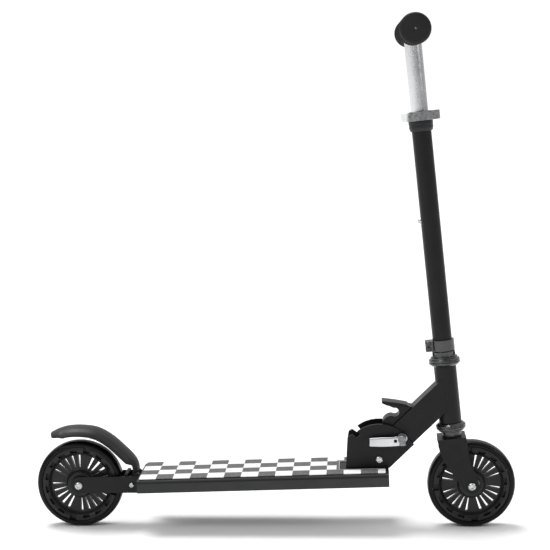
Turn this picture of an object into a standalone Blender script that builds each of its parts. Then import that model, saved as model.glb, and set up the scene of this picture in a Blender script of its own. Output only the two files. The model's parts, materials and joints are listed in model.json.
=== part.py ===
"""Folding two-wheeled kick scooter for a child, as separate sub-parts.

X runs forward, Y to the scooter's left and Z up. The origin is on the floor, midway between the
axles. Lengths below are written in millimetres and multiplied by MM, because a scene is in metres.
"""

import math

import bmesh
import bpy
from mathutils import Matrix, Vector

MM = 0.001
GAP = 0.3 * MM  # between a piece and the piece that carries it

# Driving dimensions
WHEEL_RADIUS = 60 * MM
WHEELBASE = 539.6 * MM
AXLE_RADIUS = 4 * MM
REAR_AXLE = (-WHEELBASE / 2, WHEEL_RADIUS)
FRONT_AXLE = (WHEELBASE / 2, WHEEL_RADIUS)

DECK_LENGTH = 342 * MM
DECK_WIDTH = 100 * MM
DECK_HEIGHT = 18 * MM
DECK_WALL = 2 * MM
DECK_CENTRE = (-14 * MM, 80 * MM)  # middle of the top face
DECK_PITCH = math.radians(1.6)  # nose up

COLUMN_LEAN = math.radians(5.57)  # backwards from the vertical
COLUMN_FOOT_X = 255.9 * MM  # where the steering axis meets the floor

PIVOT = (144.1 * MM, 96.4 * MM)  # fold hinge
NECK_ANGLE = math.radians(44)
NECK_WIDTH = 30 * MM
NECK_TOP = 20 * MM  # height of the neck's top face over a line through the pivot
NECK_BOTTOM = -16 * MM
NECK_WALL = 2 * MM
SKEWER_REACH = 43.3 * MM  # from the fold hinge to the locking skewer
FOLD_ANGLE = math.radians(86.6)

BRACKET_INNER = 15.5 * MM
CAM_OFFSET = 26.2 * MM  # from the mid-plane to the fold lever's hinge
BRACKET_OUTER = 18.5 * MM
TAIL_INNER = 16.8 * MM
TAIL_OUTER = 19.4 * MM
FORK_INNER = 18.8 * MM
FORK_OUTER = 22 * MM
FENDER_PIN = (-196.3 * MM, 61.2 * MM)

# Heights along the steering column, from the floor
CROWN_TOP = 126.5 * MM
HEAD_LOW = 146 * MM
HEAD_HIGH = 225 * MM
CLAMP_LOW = 246.3 * MM
CLAMP_HIGH = 261 * MM
BUSH_LOW = 544.4 * MM
HEIGHT_CLAMP_LOW = 559.3 * MM
HEIGHT_CLAMP_HIGH = 570.5 * MM
BUTTON_HEIGHT = 424.5 * MM
BAR_HEIGHT = 677.2 * MM

STEERER_RADIUS = 11 * MM
LOWER_TUBE_RADIUS = 13.1 * MM
LOWER_TUBE_BORE = 11.9 * MM
UPPER_TUBE_RADIUS = 11.6 * MM
UPPER_TUBE_BORE = 10.3 * MM
BAR_RADIUS = 11 * MM
BAR_HALF_LENGTH = 146 * MM
ROUND = 28  # sides of the column's round pieces

BLACK = ("satin_black", (0.016, 0.016, 0.017), 0.42, 0.3)
DARK_GREY = ("deck_grey", (0.055, 0.056, 0.058), 0.5, 0.2)
RUBBER = ("black_rubber", (0.012, 0.012, 0.013), 0.7, 0.0)
PLASTIC = ("black_plastic", (0.02, 0.02, 0.021), 0.5, 0.0)
FENDER_GREY = ("fender_grey", (0.045, 0.045, 0.047), 0.55, 0.0)
SILVER = ("bright_alloy", (0.72, 0.73, 0.74), 0.28, 1.0)
STEEL = ("zinc_steel", (0.6, 0.6, 0.6), 0.32, 1.0)
TAPE = ("grip_tape", (0.3, 0.3, 0.3), 0.9, 0.0)


def clear_scene():
    for obj in list(bpy.data.objects):
        bpy.data.objects.remove(obj, do_unlink=True)


def material(finish):
    """The finish's Principled BSDF material, made once."""
    name, colour, roughness, metallic = finish
    found = bpy.data.materials.get(name)
    if found:
        return found
    made = bpy.data.materials.new(name)
    made.use_nodes = True
    shader = made.node_tree.nodes["Principled BSDF"]
    shader.inputs["Base Color"].default_value = (*colour, 1)
    shader.inputs["Roughness"].default_value = roughness
    shader.inputs["Metallic"].default_value = metallic
    return made


def frame(name, x, z, lean=0.0):
    """An empty at (x, 0, z), turned about Y so that its Z leans back by `lean`."""
    empty = bpy.data.objects.new(name, None)
    bpy.context.scene.collection.objects.link(empty)
    empty.location = (x, 0, z)
    empty.rotation_euler = (0, -lean, 0)
    return empty


def add(name, bm, finish, parent=None, location=(0, 0, 0), turn=None):
    """Makes the object `name` from a bmesh: normals outwards, round faces shaded smooth."""
    bmesh.ops.remove_doubles(bm, verts=bm.verts, dist=1e-6)
    bmesh.ops.recalc_face_normals(bm, faces=bm.faces)
    mesh = bpy.data.meshes.new(name)
    bm.to_mesh(mesh)
    bm.free()
    mesh.shade_smooth()
    mesh.set_sharp_from_angle(angle=math.radians(35))
    mesh.materials.append(material(finish))
    obj = bpy.data.objects.new(name, mesh)
    bpy.context.scene.collection.objects.link(obj)
    obj.parent = parent
    turned = turn if turn is not None else Matrix.Identity(4)
    obj.matrix_local = Matrix.Translation(location) @ turned
    return obj


ALONG_Y = Matrix.Rotation(math.radians(-90), 4, "X")  # local Z becomes +Y
ALONG_MINUS_Y = Matrix.Rotation(math.radians(90), 4, "X")


def cutter(obj):
    obj.hide_render = True
    obj.display_type = "WIRE"
    return obj


def cut(target, name, bm, parent=None, location=(0, 0, 0), turn=None, join=False):
    """Takes a shape away from `target`, or joins it on, with an exact Boolean."""
    tool = cutter(add(name, bm, BLACK, parent, location, turn))
    modifier = target.modifiers.new(name, "BOOLEAN")
    modifier.operation = "UNION" if join else "DIFFERENCE"
    modifier.solver = "EXACT"
    modifier.object = tool
    return target


def arc(centre, radius, start, end, steps):
    """Points on a circle from angle `start` to `end`, in degrees, both ends included."""
    angles = [math.radians(start + (end - start) * i / steps) for i in range(steps + 1)]
    return [(centre[0] + radius * math.cos(a), centre[1] + radius * math.sin(a)) for a in angles]


def prism(outline, low, high):
    """An outline of (x, z) points, extruded along Y from `low` to `high`."""
    bm = bmesh.new()
    face = bm.faces.new([bm.verts.new((x, low, z)) for x, z in outline])
    grown = bmesh.ops.extrude_face_region(bm, geom=[face])["geom"]
    moved = [v for v in grown if isinstance(v, bmesh.types.BMVert)]
    bmesh.ops.translate(bm, verts=moved, vec=(0, high - low, 0))
    return bm


def block(low, high):
    """A box between two corners."""
    outline = [(low[0], low[2]), (high[0], low[2]), (high[0], high[2]), (low[0], high[2])]
    return prism(outline, low[1], high[1])


def turned(profile, steps, ring=True):
    """A profile of (radius, height) points spun about Z. A ring's profile closes on itself."""
    bm = bmesh.new()
    points = [bm.verts.new((r, 0, h)) for r, h in profile]
    pairs = list(zip(points, points[1:]))
    if ring:
        pairs.append((points[-1], points[0]))
    edges = [bm.edges.new(pair) for pair in pairs]
    bmesh.ops.spin(
        bm, geom=points + edges, axis=(0, 0, 1), cent=(0, 0, 0), angle=2 * math.pi, steps=steps
    )
    return bm


def sleeve(inner, outer, low, high, steps=24):
    """A plain ring or tube about Z."""
    return turned([(inner, low), (outer, low), (outer, high), (inner, high)], steps)


def rod(radius, low, high, steps=16):
    """A plain solid cylinder about Z."""
    return turned([(0, low), (radius, low), (radius, high), (0, high)], steps, ring=False)


def headed(shank, head, head_height, length, steps=14):
    """A button-head bolt about Z: the head is above zero and the shank below it."""
    profile = [(0, head_height), (head * 0.6, head_height * 0.9), (head, head_height * 0.35)]
    profile += [(head, 0), (shank, 0), (shank, -length), (0, -length)]
    return turned(profile, steps, ring=False)


def nut(bore, across, height):
    """A hexagonal nut about Z, standing on zero."""
    bm = bmesh.new()
    corner = across / math.sqrt(3)
    sides, steps = 6, 12
    outer = []
    for i in range(steps):
        angle = 2 * math.pi * i / steps
        from_flat = (angle % (math.pi / 3)) - math.pi / 6
        outer.append((angle, corner * math.cos(math.pi / sides) / math.cos(from_flat)))
    loops = []
    for height_now in (0, height):
        inner_loop = [
            bm.verts.new((bore * math.cos(a), bore * math.sin(a), height_now)) for a, _ in outer
        ]
        outer_loop = [bm.verts.new((r * math.cos(a), r * math.sin(a), height_now)) for a, r in outer]
        loops.append((inner_loop, outer_loop))
    (inner_low, outer_low), (inner_high, outer_high) = loops
    for i in range(steps):
        j = (i + 1) % steps
        bm.faces.new((outer_low[i], outer_low[j], outer_high[j], outer_high[i]))
        bm.faces.new((inner_low[j], inner_low[i], inner_high[i], inner_high[j]))
        bm.faces.new((inner_low[i], inner_low[j], outer_low[j], outer_low[i]))
        bm.faces.new((outer_high[i], outer_high[j], inner_high[j], inner_high[i]))
    return bm


def wire(points, radius, sides=6):
    """A round wire through the points, closed at both ends."""
    bm = bmesh.new()
    loops = []
    for i, point in enumerate(points):
        before, after = points[max(i - 1, 0)], points[min(i + 1, len(points) - 1)]
        along = (after - before).normalized()
        side = along.cross(Vector((0.2, 0.9, 0.4))).normalized()
        up = side.cross(along)
        ring = []
        for k in range(sides):
            a = 2 * math.pi * k / sides
            ring.append(bm.verts.new(point + radius * (math.cos(a) * side + math.sin(a) * up)))
        loops.append(ring)
    for first, second in zip(loops, loops[1:]):
        for k in range(sides):
            bm.faces.new((first[k], first[(k + 1) % sides], second[(k + 1) % sides], second[k]))
    bm.faces.new(loops[0])
    bm.faces.new(loops[-1])
    return bm


def deck_top(x):
    """Height of the deck's top face at a place along the scooter."""
    return DECK_CENTRE[1] + (x - DECK_CENTRE[0]) * math.tan(DECK_PITCH)


# --- Deck --------------------------------------------------------------------------------------


def make_deck(deck):
    """A channel with rounded upper corners and two stiffening ribs, open below and at both ends."""
    half, corner, wall = DECK_WIDTH / 2, 6 * MM, DECK_WALL
    outer = [(-half, -DECK_HEIGHT)]
    outer += arc((-half + corner, -corner), corner, 180, 90, 5)
    outer += arc((half - corner, -corner), corner, 90, 0, 5)
    outer += [(half, -DECK_HEIGHT)]
    inner = [(half - wall, -DECK_HEIGHT)]
    inner += arc((half - corner, -corner), corner - wall, 0, 90, 4)
    for rib in (27 * MM, -27 * MM):
        inner += [(rib + wall / 2, -wall), (rib + wall / 2, -DECK_HEIGHT + 4 * MM)]
        inner += [(rib - wall / 2, -DECK_HEIGHT + 4 * MM), (rib - wall / 2, -wall)]
    inner += arc((-half + corner, -corner), corner - wall, 90, 180, 4)
    inner += [(-half + wall, -DECK_HEIGHT)]
    section = prism(outer + inner, -DECK_LENGTH / 2, DECK_LENGTH / 2)
    # The section is drawn across the deck and extruded along it.
    shell = add("deck_shell", section, DARK_GREY, deck, turn=Matrix.Rotation(math.radians(90), 4, "Z"))
    for number, x in enumerate((124 * MM, 158 * MM)):
        hole = rod(3.4 * MM, -10 * MM, 10 * MM, 16)
        cut(shell, f"deck_hole_{number}", hole, deck, (x, 0, 0))
    return shell


def make_grip_tape(deck):
    """A sheet over the deck's flat top, cut out round the fold bracket."""
    rear, front = -168.5 * MM, 166.5 * MM
    half, cut_half, cut_rear = 46.5 * MM, 23 * MM, 104 * MM
    outline = [(rear, -half), (front, -half), (front, -cut_half), (cut_rear, -cut_half)]
    outline += [(cut_rear, cut_half), (front, cut_half), (front, half), (rear, half)]
    # Drawn in plan, then laid flat: extrusion along Y becomes height.
    sheet = prism(outline, 0, 1.1 * MM)
    lay = Matrix.Rotation(math.radians(90), 4, "X")
    return add("grip_tape", sheet, TAPE, deck, (0, 0, GAP), lay)


def make_fold_bracket():
    """A U of bent plate: two cheeks with a round top, a rear lock notch, and a base on the deck."""
    x0, z0 = PIVOT
    rear, front = 98.7 * MM, 158 * MM
    floor_rear, floor_front = deck_top(rear) + GAP, deck_top(front) + GAP
    outline = [(rear, floor_rear), (front, floor_front)]
    outline += [(191.5 * MM, 117.6 * MM)]
    outline += arc(PIVOT, 49.5 * MM, 34, 118, 14)
    notch = NECK_ANGLE + FOLD_ANGLE
    reach = SKEWER_REACH - 0.5 * MM
    along = (math.cos(notch), math.sin(notch))
    across = (-along[1], along[0])
    for side, out in ((-3.6, 49.3), (-3.2, reach / MM), (3.2, reach / MM), (5.2, 50.6)):
        outline.append(
            (
                x0 + along[0] * out * MM + across[0] * side * MM,
                z0 + along[1] * out * MM + across[1] * side * MM,
            )
        )
    outline += [(102.5 * MM, 128.6 * MM), (100.6 * MM, 118 * MM)]
    bracket = add("fold_bracket", prism(outline, -BRACKET_OUTER, BRACKET_OUTER), BLACK)
    base = 2.4 * MM
    low_rear, low_front = deck_top(60 * MM) + GAP + base, deck_top(220 * MM) + GAP + base
    inside = [(60 * MM, low_rear), (220 * MM, low_front), (220 * MM, 180 * MM), (60 * MM, 180 * MM)]
    cut(bracket, "bracket_inside", prism(inside, -BRACKET_INNER, BRACKET_INNER))
    pin = rod(4.5 * MM, -30 * MM, 30 * MM, 16)
    cut(bracket, "bracket_pivot_bore", pin, None, (x0, 0, z0), ALONG_Y)
    x1, z1 = skewer_place()
    bore = rod(3.5 * MM, -30 * MM, 30 * MM, 16)
    cut(bracket, "bracket_skewer_bore", bore, None, (x1, 0, z1), ALONG_Y)
    for number, x in enumerate((110 * MM, 144 * MM)):
        hole = rod(3.4 * MM, -10 * MM, 10 * MM, 16)
        cut(bracket, f"bracket_hole_{number}", hole, None, (x, 0, deck_top(x)))
    return bracket


def skewer_place():
    return (
        PIVOT[0] + SKEWER_REACH * math.cos(NECK_ANGLE),
        PIVOT[1] + SKEWER_REACH * math.sin(NECK_ANGLE),
    )


def make_bracket_bolts():
    for name, x in (("bracket_bolt_rear", 110 * MM), ("bracket_bolt_front", 144 * MM)):
        z = deck_top(x) + GAP + 2.4 * MM + GAP
        add(name, headed(3 * MM, 4.6 * MM, 2.2 * MM, 12 * MM, 16), STEEL, None, (x, 0, z))


def make_pin_across(name, place, shank, head, near, far, finish=STEEL):
    """A bolt along Y through `place`: its head stands on y = -near and its tip reaches y = far."""
    bolt = headed(shank, head, 3.2 * MM, near + far)
    return add(name, bolt, finish, None, (place[0], -near, place[1]), ALONG_MINUS_Y)


def make_nut_across(name, place, bore, across, y, height):
    return add(name, nut(bore, across, height), STEEL, None, (place[0], y, place[1]), ALONG_Y)


def make_fold_lever():
    """A bowed strip on an upright cam barrel that swings out from the skewer's end."""
    x1, z1 = skewer_place()
    steps, length, half_height = 9, 46 * MM, 6.4 * MM
    bm = bmesh.new()
    loops = []
    for i in range(steps + 1):
        t = i / steps
        x = 2 * MM - length * t
        mid = -28.6 * MM - 2.2 * MM * math.sin(math.pi * t) + 3 * MM * t
        sink = -1.3 * MM - 2.9 * MM * t
        corners = [(mid + 1.2 * MM, -half_height), (mid - 1.2 * MM, -half_height)]
        corners += [(mid - 1.2 * MM, half_height), (mid + 1.2 * MM, half_height)]
        loops.append([bm.verts.new((x, y, sink + z)) for y, z in corners])
    for first, second in zip(loops, loops[1:]):
        for k in range(4):
            bm.faces.new((first[k], first[(k + 1) % 4], second[(k + 1) % 4], second[k]))
    bm.faces.new(loops[0])
    bm.faces.new(loops[-1])
    lever = add("fold_lever", bm, SILVER, None, (x1, 0, z1))
    hinge = (x1, -CAM_OFFSET, z1)
    cut(lever, "lever_cam", rod(5.6 * MM, -7.9 * MM, 5.3 * MM, 20), None, hinge, join=True)
    boss = [(0, 0), (5.5, 0), (5.5, 4.8), (4.2, 5.6), (0, 5.6)]
    boss = turned([(r * MM, h * MM) for r, h in boss], 20, ring=False)
    cut(lever, "lever_boss", boss, None, hinge, ALONG_MINUS_Y, join=True)
    # Open towards the bracket and forwards, so that the cam turns round the skewer's end.
    clearance = block((-3.7 * MM, -3.6 * MM, -3.6 * MM), (9 * MM, 9 * MM, 3.6 * MM))
    cut(lever, "lever_clearance", clearance, None, hinge)
    return lever


def make_tail():
    """A channel that carries the rear wheel: two cheeks, tied by a web under the deck."""
    x0, z0 = REAR_AXLE
    half = 11 * MM
    outline = arc((x0, z0 + 0.8 * MM), half, 270, 90, 12)
    outline += [(-201 * MM, 73 * MM), (-184 * MM, 73 * MM), (-184 * MM, 71.5 * MM)]
    outline += [(-150 * MM, 73.4 * MM), (-150 * MM, 66 * MM), (-160 * MM, 60 * MM), (-176 * MM, 49.9 * MM)]
    tail = add("tail_bracket", prism(outline, -TAIL_OUTER, TAIL_OUTER), BLACK)
    inner = [(-300 * MM, 30 * MM), (-140 * MM, 30 * MM), (-140 * MM, 70 * MM), (-181 * MM, 69.4 * MM)]
    inner += [(-181 * MM, 90 * MM), (-300 * MM, 90 * MM)]
    cut(tail, "tail_inside", prism(inner, -TAIL_INNER, TAIL_INNER))
    bore = rod(AXLE_RADIUS + 0.4 * MM, -30 * MM, 30 * MM, 16)
    cut(tail, "tail_axle_bore", bore, None, (x0, 0, z0), ALONG_Y)
    pin = rod(3 * MM, -30 * MM, 30 * MM, 16)
    cut(tail, "tail_pin_bore", pin, None, (FENDER_PIN[0], 0, FENDER_PIN[1]), ALONG_Y)
    brace = block((-206.3 * MM, -TAIL_INNER + GAP, 72 * MM), (-201.6 * MM, TAIL_INNER - GAP, 76.2 * MM))
    add("tail_brace", brace, DARK_GREY)


def make_fender_spring():
    """A coil round the fender pin with two short straight legs."""
    turns, per_turn, radius = 4, 9, 4.6 * MM
    rise = 2.2 * MM
    points = []
    for i in range(turns * per_turn + 1):
        a = 2 * math.pi * i / per_turn
        y = -turns * rise / 2 + rise * i / per_turn
        points.append(Vector((radius * math.cos(a), y, radius * math.sin(a))))
    points.insert(0, points[0] + Vector((0, 0, -5 * MM)))
    points.append(points[-1] + Vector((0, 0, 4 * MM)))
    bm = wire(points, 0.7 * MM, 4)
    return add("fender_spring", bm, STEEL, None, (FENDER_PIN[0], 0, FENDER_PIN[1]))


# --- Rear brake fender --------------------------------------------------------------------------


def fender_crown(t):
    """Point and direction of the fender's crown line, t = 0 at the tail, 1 at the foot."""
    knots = [(-39.5, 131.5), (-27.4, 137.2), (-13.4, 140.6), (3.4, 141.2), (21.5, 139), (35.3, 133.3)]
    knots += [(49, 124.1), (61.3, 112.9), (73.5, 100.7), (80.4, 91), (82.6, 80.8), (81.4, 71)]
    place = t * (len(knots) - 1)
    i = min(int(place), len(knots) - 2)
    f = place - i
    around = [knots[max(0, min(len(knots) - 1, k))] for k in (i - 1, i, i + 1, i + 2)]
    value = []
    for axis in (0, 1):
        a, b, c, d = (p[axis] for p in around)
        value.append(
            0.5 * (2 * b + (c - a) * f + (2 * a - 5 * b + 4 * c - d) * f * f + (3 * b - a - 3 * c + d) * f**3)
        )
    return REAR_AXLE[0] + value[0] * MM, value[1] * MM


def make_fender():
    """A rounded shell over the rear wheel, swept along its crown line, on a barrel round its pin."""
    steps, across, thick = 18, 8, 2.6 * MM
    bm = bmesh.new()
    loops = []
    for i in range(steps + 1):
        t = i / steps
        x, z = fender_crown(t)
        x_next, z_next = fender_crown(min(1, t + 0.01))
        x_last, z_last = fender_crown(max(0, t - 0.01))
        along = Vector((x_next - x_last, 0, z_next - z_last)).normalized()
        out = Vector((-along.z, 0, along.x))
        narrow = min(1.0, max(0.0, (t - 0.72) / 0.12))
        half = (22 - 7.6 * narrow) * MM * (0.62 + 0.38 * min(1, math.sqrt(t / 0.1)))
        drop = (13 - 4.5 * narrow) * MM * (0.45 + 0.55 * min(1, t / 0.12))
        ring = []
        for wall, sign in ((0.0, 1), (thick, -1)):
            for k in range(across + 1):
                s = sign * (2 * k / across - 1)
                a = s * math.radians(86)
                y = (half - wall) * math.sin(a)
                sink = drop * (1 - math.cos(a)) + wall * math.cos(a)
                centre = Vector((x, 0, z))
                ring.append(bm.verts.new(centre - out * sink + Vector((0, y, 0))))
        loops.append(ring)
    count = len(loops[0])
    for first, second in zip(loops, loops[1:]):
        for k in range(count):
            bm.faces.new((first[k], first[(k + 1) % count], second[(k + 1) % count], second[k]))
    for ring in (loops[0], loops[-1]):
        for k in range(across):
            quad = (ring[k], ring[k + 1], ring[count - 2 - k], ring[count - 1 - k])
            bm.faces.new(quad)
    fender = add("fender", bm, FENDER_GREY)
    foot = [(-6.4, 2), (8.6, 2), (10.2, 14), (6.5, 16), (-6.4, 6)]
    foot = [(FENDER_PIN[0] + x * MM, FENDER_PIN[1] + z * MM) for x, z in foot]
    cut(fender, "fender_foot", prism(foot, -14.3 * MM, 14.3 * MM), join=True)
    barrel = rod(6.4 * MM, -14.6 * MM, 14.6 * MM, 24)
    place = (FENDER_PIN[0], 0, FENDER_PIN[1])
    cut(fender, "fender_barrel", barrel, None, place, ALONG_Y, join=True)
    cut(fender, "fender_bore", rod(3 * MM, -30 * MM, 30 * MM, 16), None, place, ALONG_Y)
    pocket = block((-9 * MM, -7 * MM, -8 * MM), (6.2 * MM, 7 * MM, 11 * MM))
    cut(fender, "fender_spring_pocket", pocket, None, place)
    pad = arc(REAR_AXLE, 65.4 * MM, 54, 78, 6) + arc(REAR_AXLE, 76.8 * MM, 78, 54, 6)
    add("brake_pad", prism(pad, -8 * MM, 8 * MM), RUBBER)


# --- Wheels --------------------------------------------------------------------------------------


def make_wheel(name, place):
    """A tyre on a slotted plastic hub that runs on two bearings."""
    at = (place[0], 0, place[1])
    tyre = [(52.3, -11.6), (56.5, -12), (59, -9.6), (60, -4.5)]
    tyre += [(60, 4.5), (59, 9.6), (56.5, 12), (52.3, 11.6)]
    tyre = [(r * MM, h * MM) for r, h in tyre]
    add(f"{name}_tyre", turned(tyre, 48), RUBBER, None, at, ALONG_Y)
    hub = [(11.3, -13), (17, -13), (19.4, -3.8), (41, -3.8), (44.4, -10.4), (52, -11.2)]
    hub += [(radius, -height) for radius, height in reversed(hub)]
    hub = [(r * MM, h * MM) for r, h in hub]
    wheel_hub = add(f"{name}_hub", turned(hub, 40), PLASTIC, None, at, ALONG_Y)
    slots = bmesh.new()
    for group in range(4):
        for slot in range(5):
            angle = math.radians(90 * group + 45 + 14.5 * (slot - 2))
            along = Vector((math.cos(angle), math.sin(angle), 0))
            side = Vector((-along.y, along.x, 0))
            corners = [(21, -0.7), (39, -1.5), (39, 1.5), (21, 0.7)]
            loop = [
                slots.verts.new(along * r * MM + side * w * MM - Vector((0, 0, 20 * MM))) for r, w in corners
            ]
            face = slots.faces.new(loop)
            grown = bmesh.ops.extrude_face_region(slots, geom=[face])["geom"]
            moved = [v for v in grown if isinstance(v, bmesh.types.BMVert)]
            bmesh.ops.translate(slots, verts=moved, vec=(0, 0, 40 * MM))
    cut(wheel_hub, f"{name}_slots", slots, None, at, ALONG_Y)
    for side, low in (("right", -12.8 * MM), ("left", 5.8 * MM)):
        ring = sleeve(4.4 * MM, 11 * MM, low, low + 7 * MM, 20)
        add(f"{name}_bearing_{side}", ring, STEEL, None, at, ALONG_Y)


def make_axle(name, place, cheek_inner, cheek_outer):
    """A bolt, its nut and the two washers that centre the wheel between the cheeks."""
    make_pin_across(f"{name}_axle_bolt", place, AXLE_RADIUS, 5.7 * MM, cheek_outer + GAP, cheek_outer + 6 * MM)
    make_nut_across(
        f"{name}_axle_nut", place, AXLE_RADIUS + GAP, 12 * MM, cheek_outer + GAP, 5.2 * MM
    )
    for side, low, high in (("right", -cheek_inner + GAP, -13.3 * MM), ("left", 13.3 * MM, cheek_inner - GAP)):
        ring = sleeve(AXLE_RADIUS + GAP, 6.6 * MM, low, high, 16)
        add(f"{name}_spacer_{side}", ring, STEEL, None, (place[0], 0, place[1]), ALONG_Y)


# --- Neck and head tube -------------------------------------------------------------------------


def make_neck(neck, column):
    """A box tube from the fold hinge to the head tube. A slot lets it swing clear of the skewer."""
    eye = 7.6 * MM
    outline = arc((0, 0), eye, 250, 110, 8)
    outline += [(11 * MM, NECK_TOP), (150 * MM, NECK_TOP), (150 * MM, NECK_BOTTOM), (9 * MM, NECK_BOTTOM)]
    half = NECK_WIDTH / 2
    tube = add("neck_tube", prism(outline, -half, half), BLACK, neck)
    inner = [(-20 * MM, NECK_BOTTOM + NECK_WALL), (-20 * MM, NECK_TOP - NECK_WALL)]
    inner += [(180 * MM, NECK_TOP - NECK_WALL), (180 * MM, NECK_BOTTOM + NECK_WALL)]
    cut(tube, "neck_inside", prism(inner, -half + NECK_WALL, half - NECK_WALL), neck)
    cut(tube, "neck_bore", rod(4.5 * MM, -30 * MM, 30 * MM, 16), neck, (0, 0, 0), ALONG_Y)
    slot = arc((0, 0), SKEWER_REACH + 3.8 * MM, -36, 5, 8)
    slot += arc((0, 0), SKEWER_REACH - 3.8 * MM, 5, -36, 8)
    cut(tube, "neck_slot", prism(slot, -30 * MM, 30 * MM), neck)
    head = rod(15.55 * MM, HEAD_LOW - 60 * MM, HEAD_HIGH + 60 * MM, ROUND)
    cut(tube, "neck_cope", head, column)
    beyond = block((0, -30 * MM, 60 * MM), (80 * MM, 30 * MM, 320 * MM))
    cut(tube, "neck_end", beyond, column)
    return tube


def make_head(column):
    add("head_tube", sleeve(13.2 * MM, 15.25 * MM, HEAD_LOW, HEAD_HIGH, ROUND), BLACK, column)
    cup = [(12, 0.3), (18.5, 0.3), (21.3, 3.6), (21.3, 9.2), (18.9, 12.8)]
    cup += [(15.5, 12.8), (15.5, 3), (12, 3)]
    upper = [(r * MM, HEAD_HIGH + h * MM) for r, h in cup]
    lower = [((r - 0.9 if r > 16 else r) * MM, HEAD_LOW - h * MM * 0.92) for r, h in cup]
    add("headset_cup_upper", turned(upper, ROUND), BLACK, column)
    add("headset_cup_lower", turned(lower, ROUND), BLACK, column)
    ring = sleeve(11.4 * MM, 15.1 * MM, HEAD_HIGH + 3.4 * MM, HEAD_HIGH + 12.4 * MM, 24)
    add("headset_bearing_upper", ring, STEEL, column)
    ring = sleeve(11.4 * MM, 15.1 * MM, HEAD_LOW - 11.4 * MM, HEAD_LOW - 3.2 * MM, 24)
    add("headset_bearing_lower", ring, STEEL, column)


def make_release_hook(neck):
    """A finger hook on the neck's top face: a thumb tab above and a rounded toe below."""
    low = NECK_TOP + GAP
    outline = [(39.2 * MM, low), (83 * MM, low), (79.8 * MM, 23.6 * MM), (79.6 * MM, 27.6 * MM)]
    outline += [(58.9 * MM, 54.4 * MM), (57.3 * MM, 54 * MM), (56.5 * MM, 52.2 * MM), (58.6 * MM, 46.5 * MM)]
    outline += [(61.4 * MM, 41.8 * MM)] + arc((60.3 * MM, 31.6 * MM), 6.1 * MM, 62, -170, 12)
    outline += [(50.6 * MM, 33.4 * MM), (46.5 * MM, 34.6 * MM), (41.5 * MM, 34.6 * MM), (38.2 * MM, 32.5 * MM)]
    outline += [(36.4 * MM, 28.5 * MM), (36.2 * MM, 24.6 * MM), (37 * MM, 22.2 * MM)]
    return add("release_hook", prism(outline, -12 * MM, 12 * MM), BLACK, neck)


# --- Fork, steering column and handlebar ---------------------------------------------------------


def in_column(x, z):
    """A world point as (forward of, height along) the steering axis."""
    dx = x - COLUMN_FOOT_X
    return (
        dx * math.cos(COLUMN_LEAN) + z * math.sin(COLUMN_LEAN),
        z * math.cos(COLUMN_LEAN) - dx * math.sin(COLUMN_LEAN),
    )


def make_fork(column):
    """A U of bent plate: a crown and two cheeks that sweep forward to the front axle."""
    u, s = in_column(*FRONT_AXLE)
    outline = [(-20 * MM, CROWN_TOP), (-20.2 * MM, 118 * MM), (-18.4 * MM, 107.5 * MM), (-14.2 * MM, 95 * MM)]
    outline += [(-1.6 * MM, 72 * MM)]
    outline += arc((u, s), 10.6 * MM, 216, 376, 12)
    outline += [(26.6 * MM, 75 * MM), (22.4 * MM, 84 * MM), (19.6 * MM, 98 * MM), (19.6 * MM, 114 * MM)]
    outline += [(18.6 * MM, CROWN_TOP)]
    fork = add("fork", prism(outline, -FORK_OUTER, FORK_OUTER), BLACK, column)
    inside = block((-60 * MM, -FORK_INNER, 0), (80 * MM, FORK_INNER, CROWN_TOP - 3.2 * MM))
    cut(fork, "fork_inside", inside, column)
    bore = rod(AXLE_RADIUS + 0.4 * MM, -30 * MM, 30 * MM, 16)
    cut(fork, "fork_bore", bore, column, (u, 0, s), ALONG_Y)
    steerer = sleeve(9 * MM, STEERER_RADIUS, CROWN_TOP + GAP, 312 * MM, ROUND)
    add("fork_steerer", steerer, STEEL, column)
    add("crown_race", sleeve(11.3 * MM, 13.4 * MM, CROWN_TOP + GAP, 134.2 * MM, ROUND), BLACK, column)
    locknut = turned(
        [(11.8 * MM, 238.2 * MM), (15.6 * MM, 238.2 * MM), (15.6 * MM, 245 * MM), (14.6 * MM, 245.8 * MM)]
        + [(11.8 * MM, 245.8 * MM)],
        12,
    )
    add("headset_locknut", locknut, BLACK, column)


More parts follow.
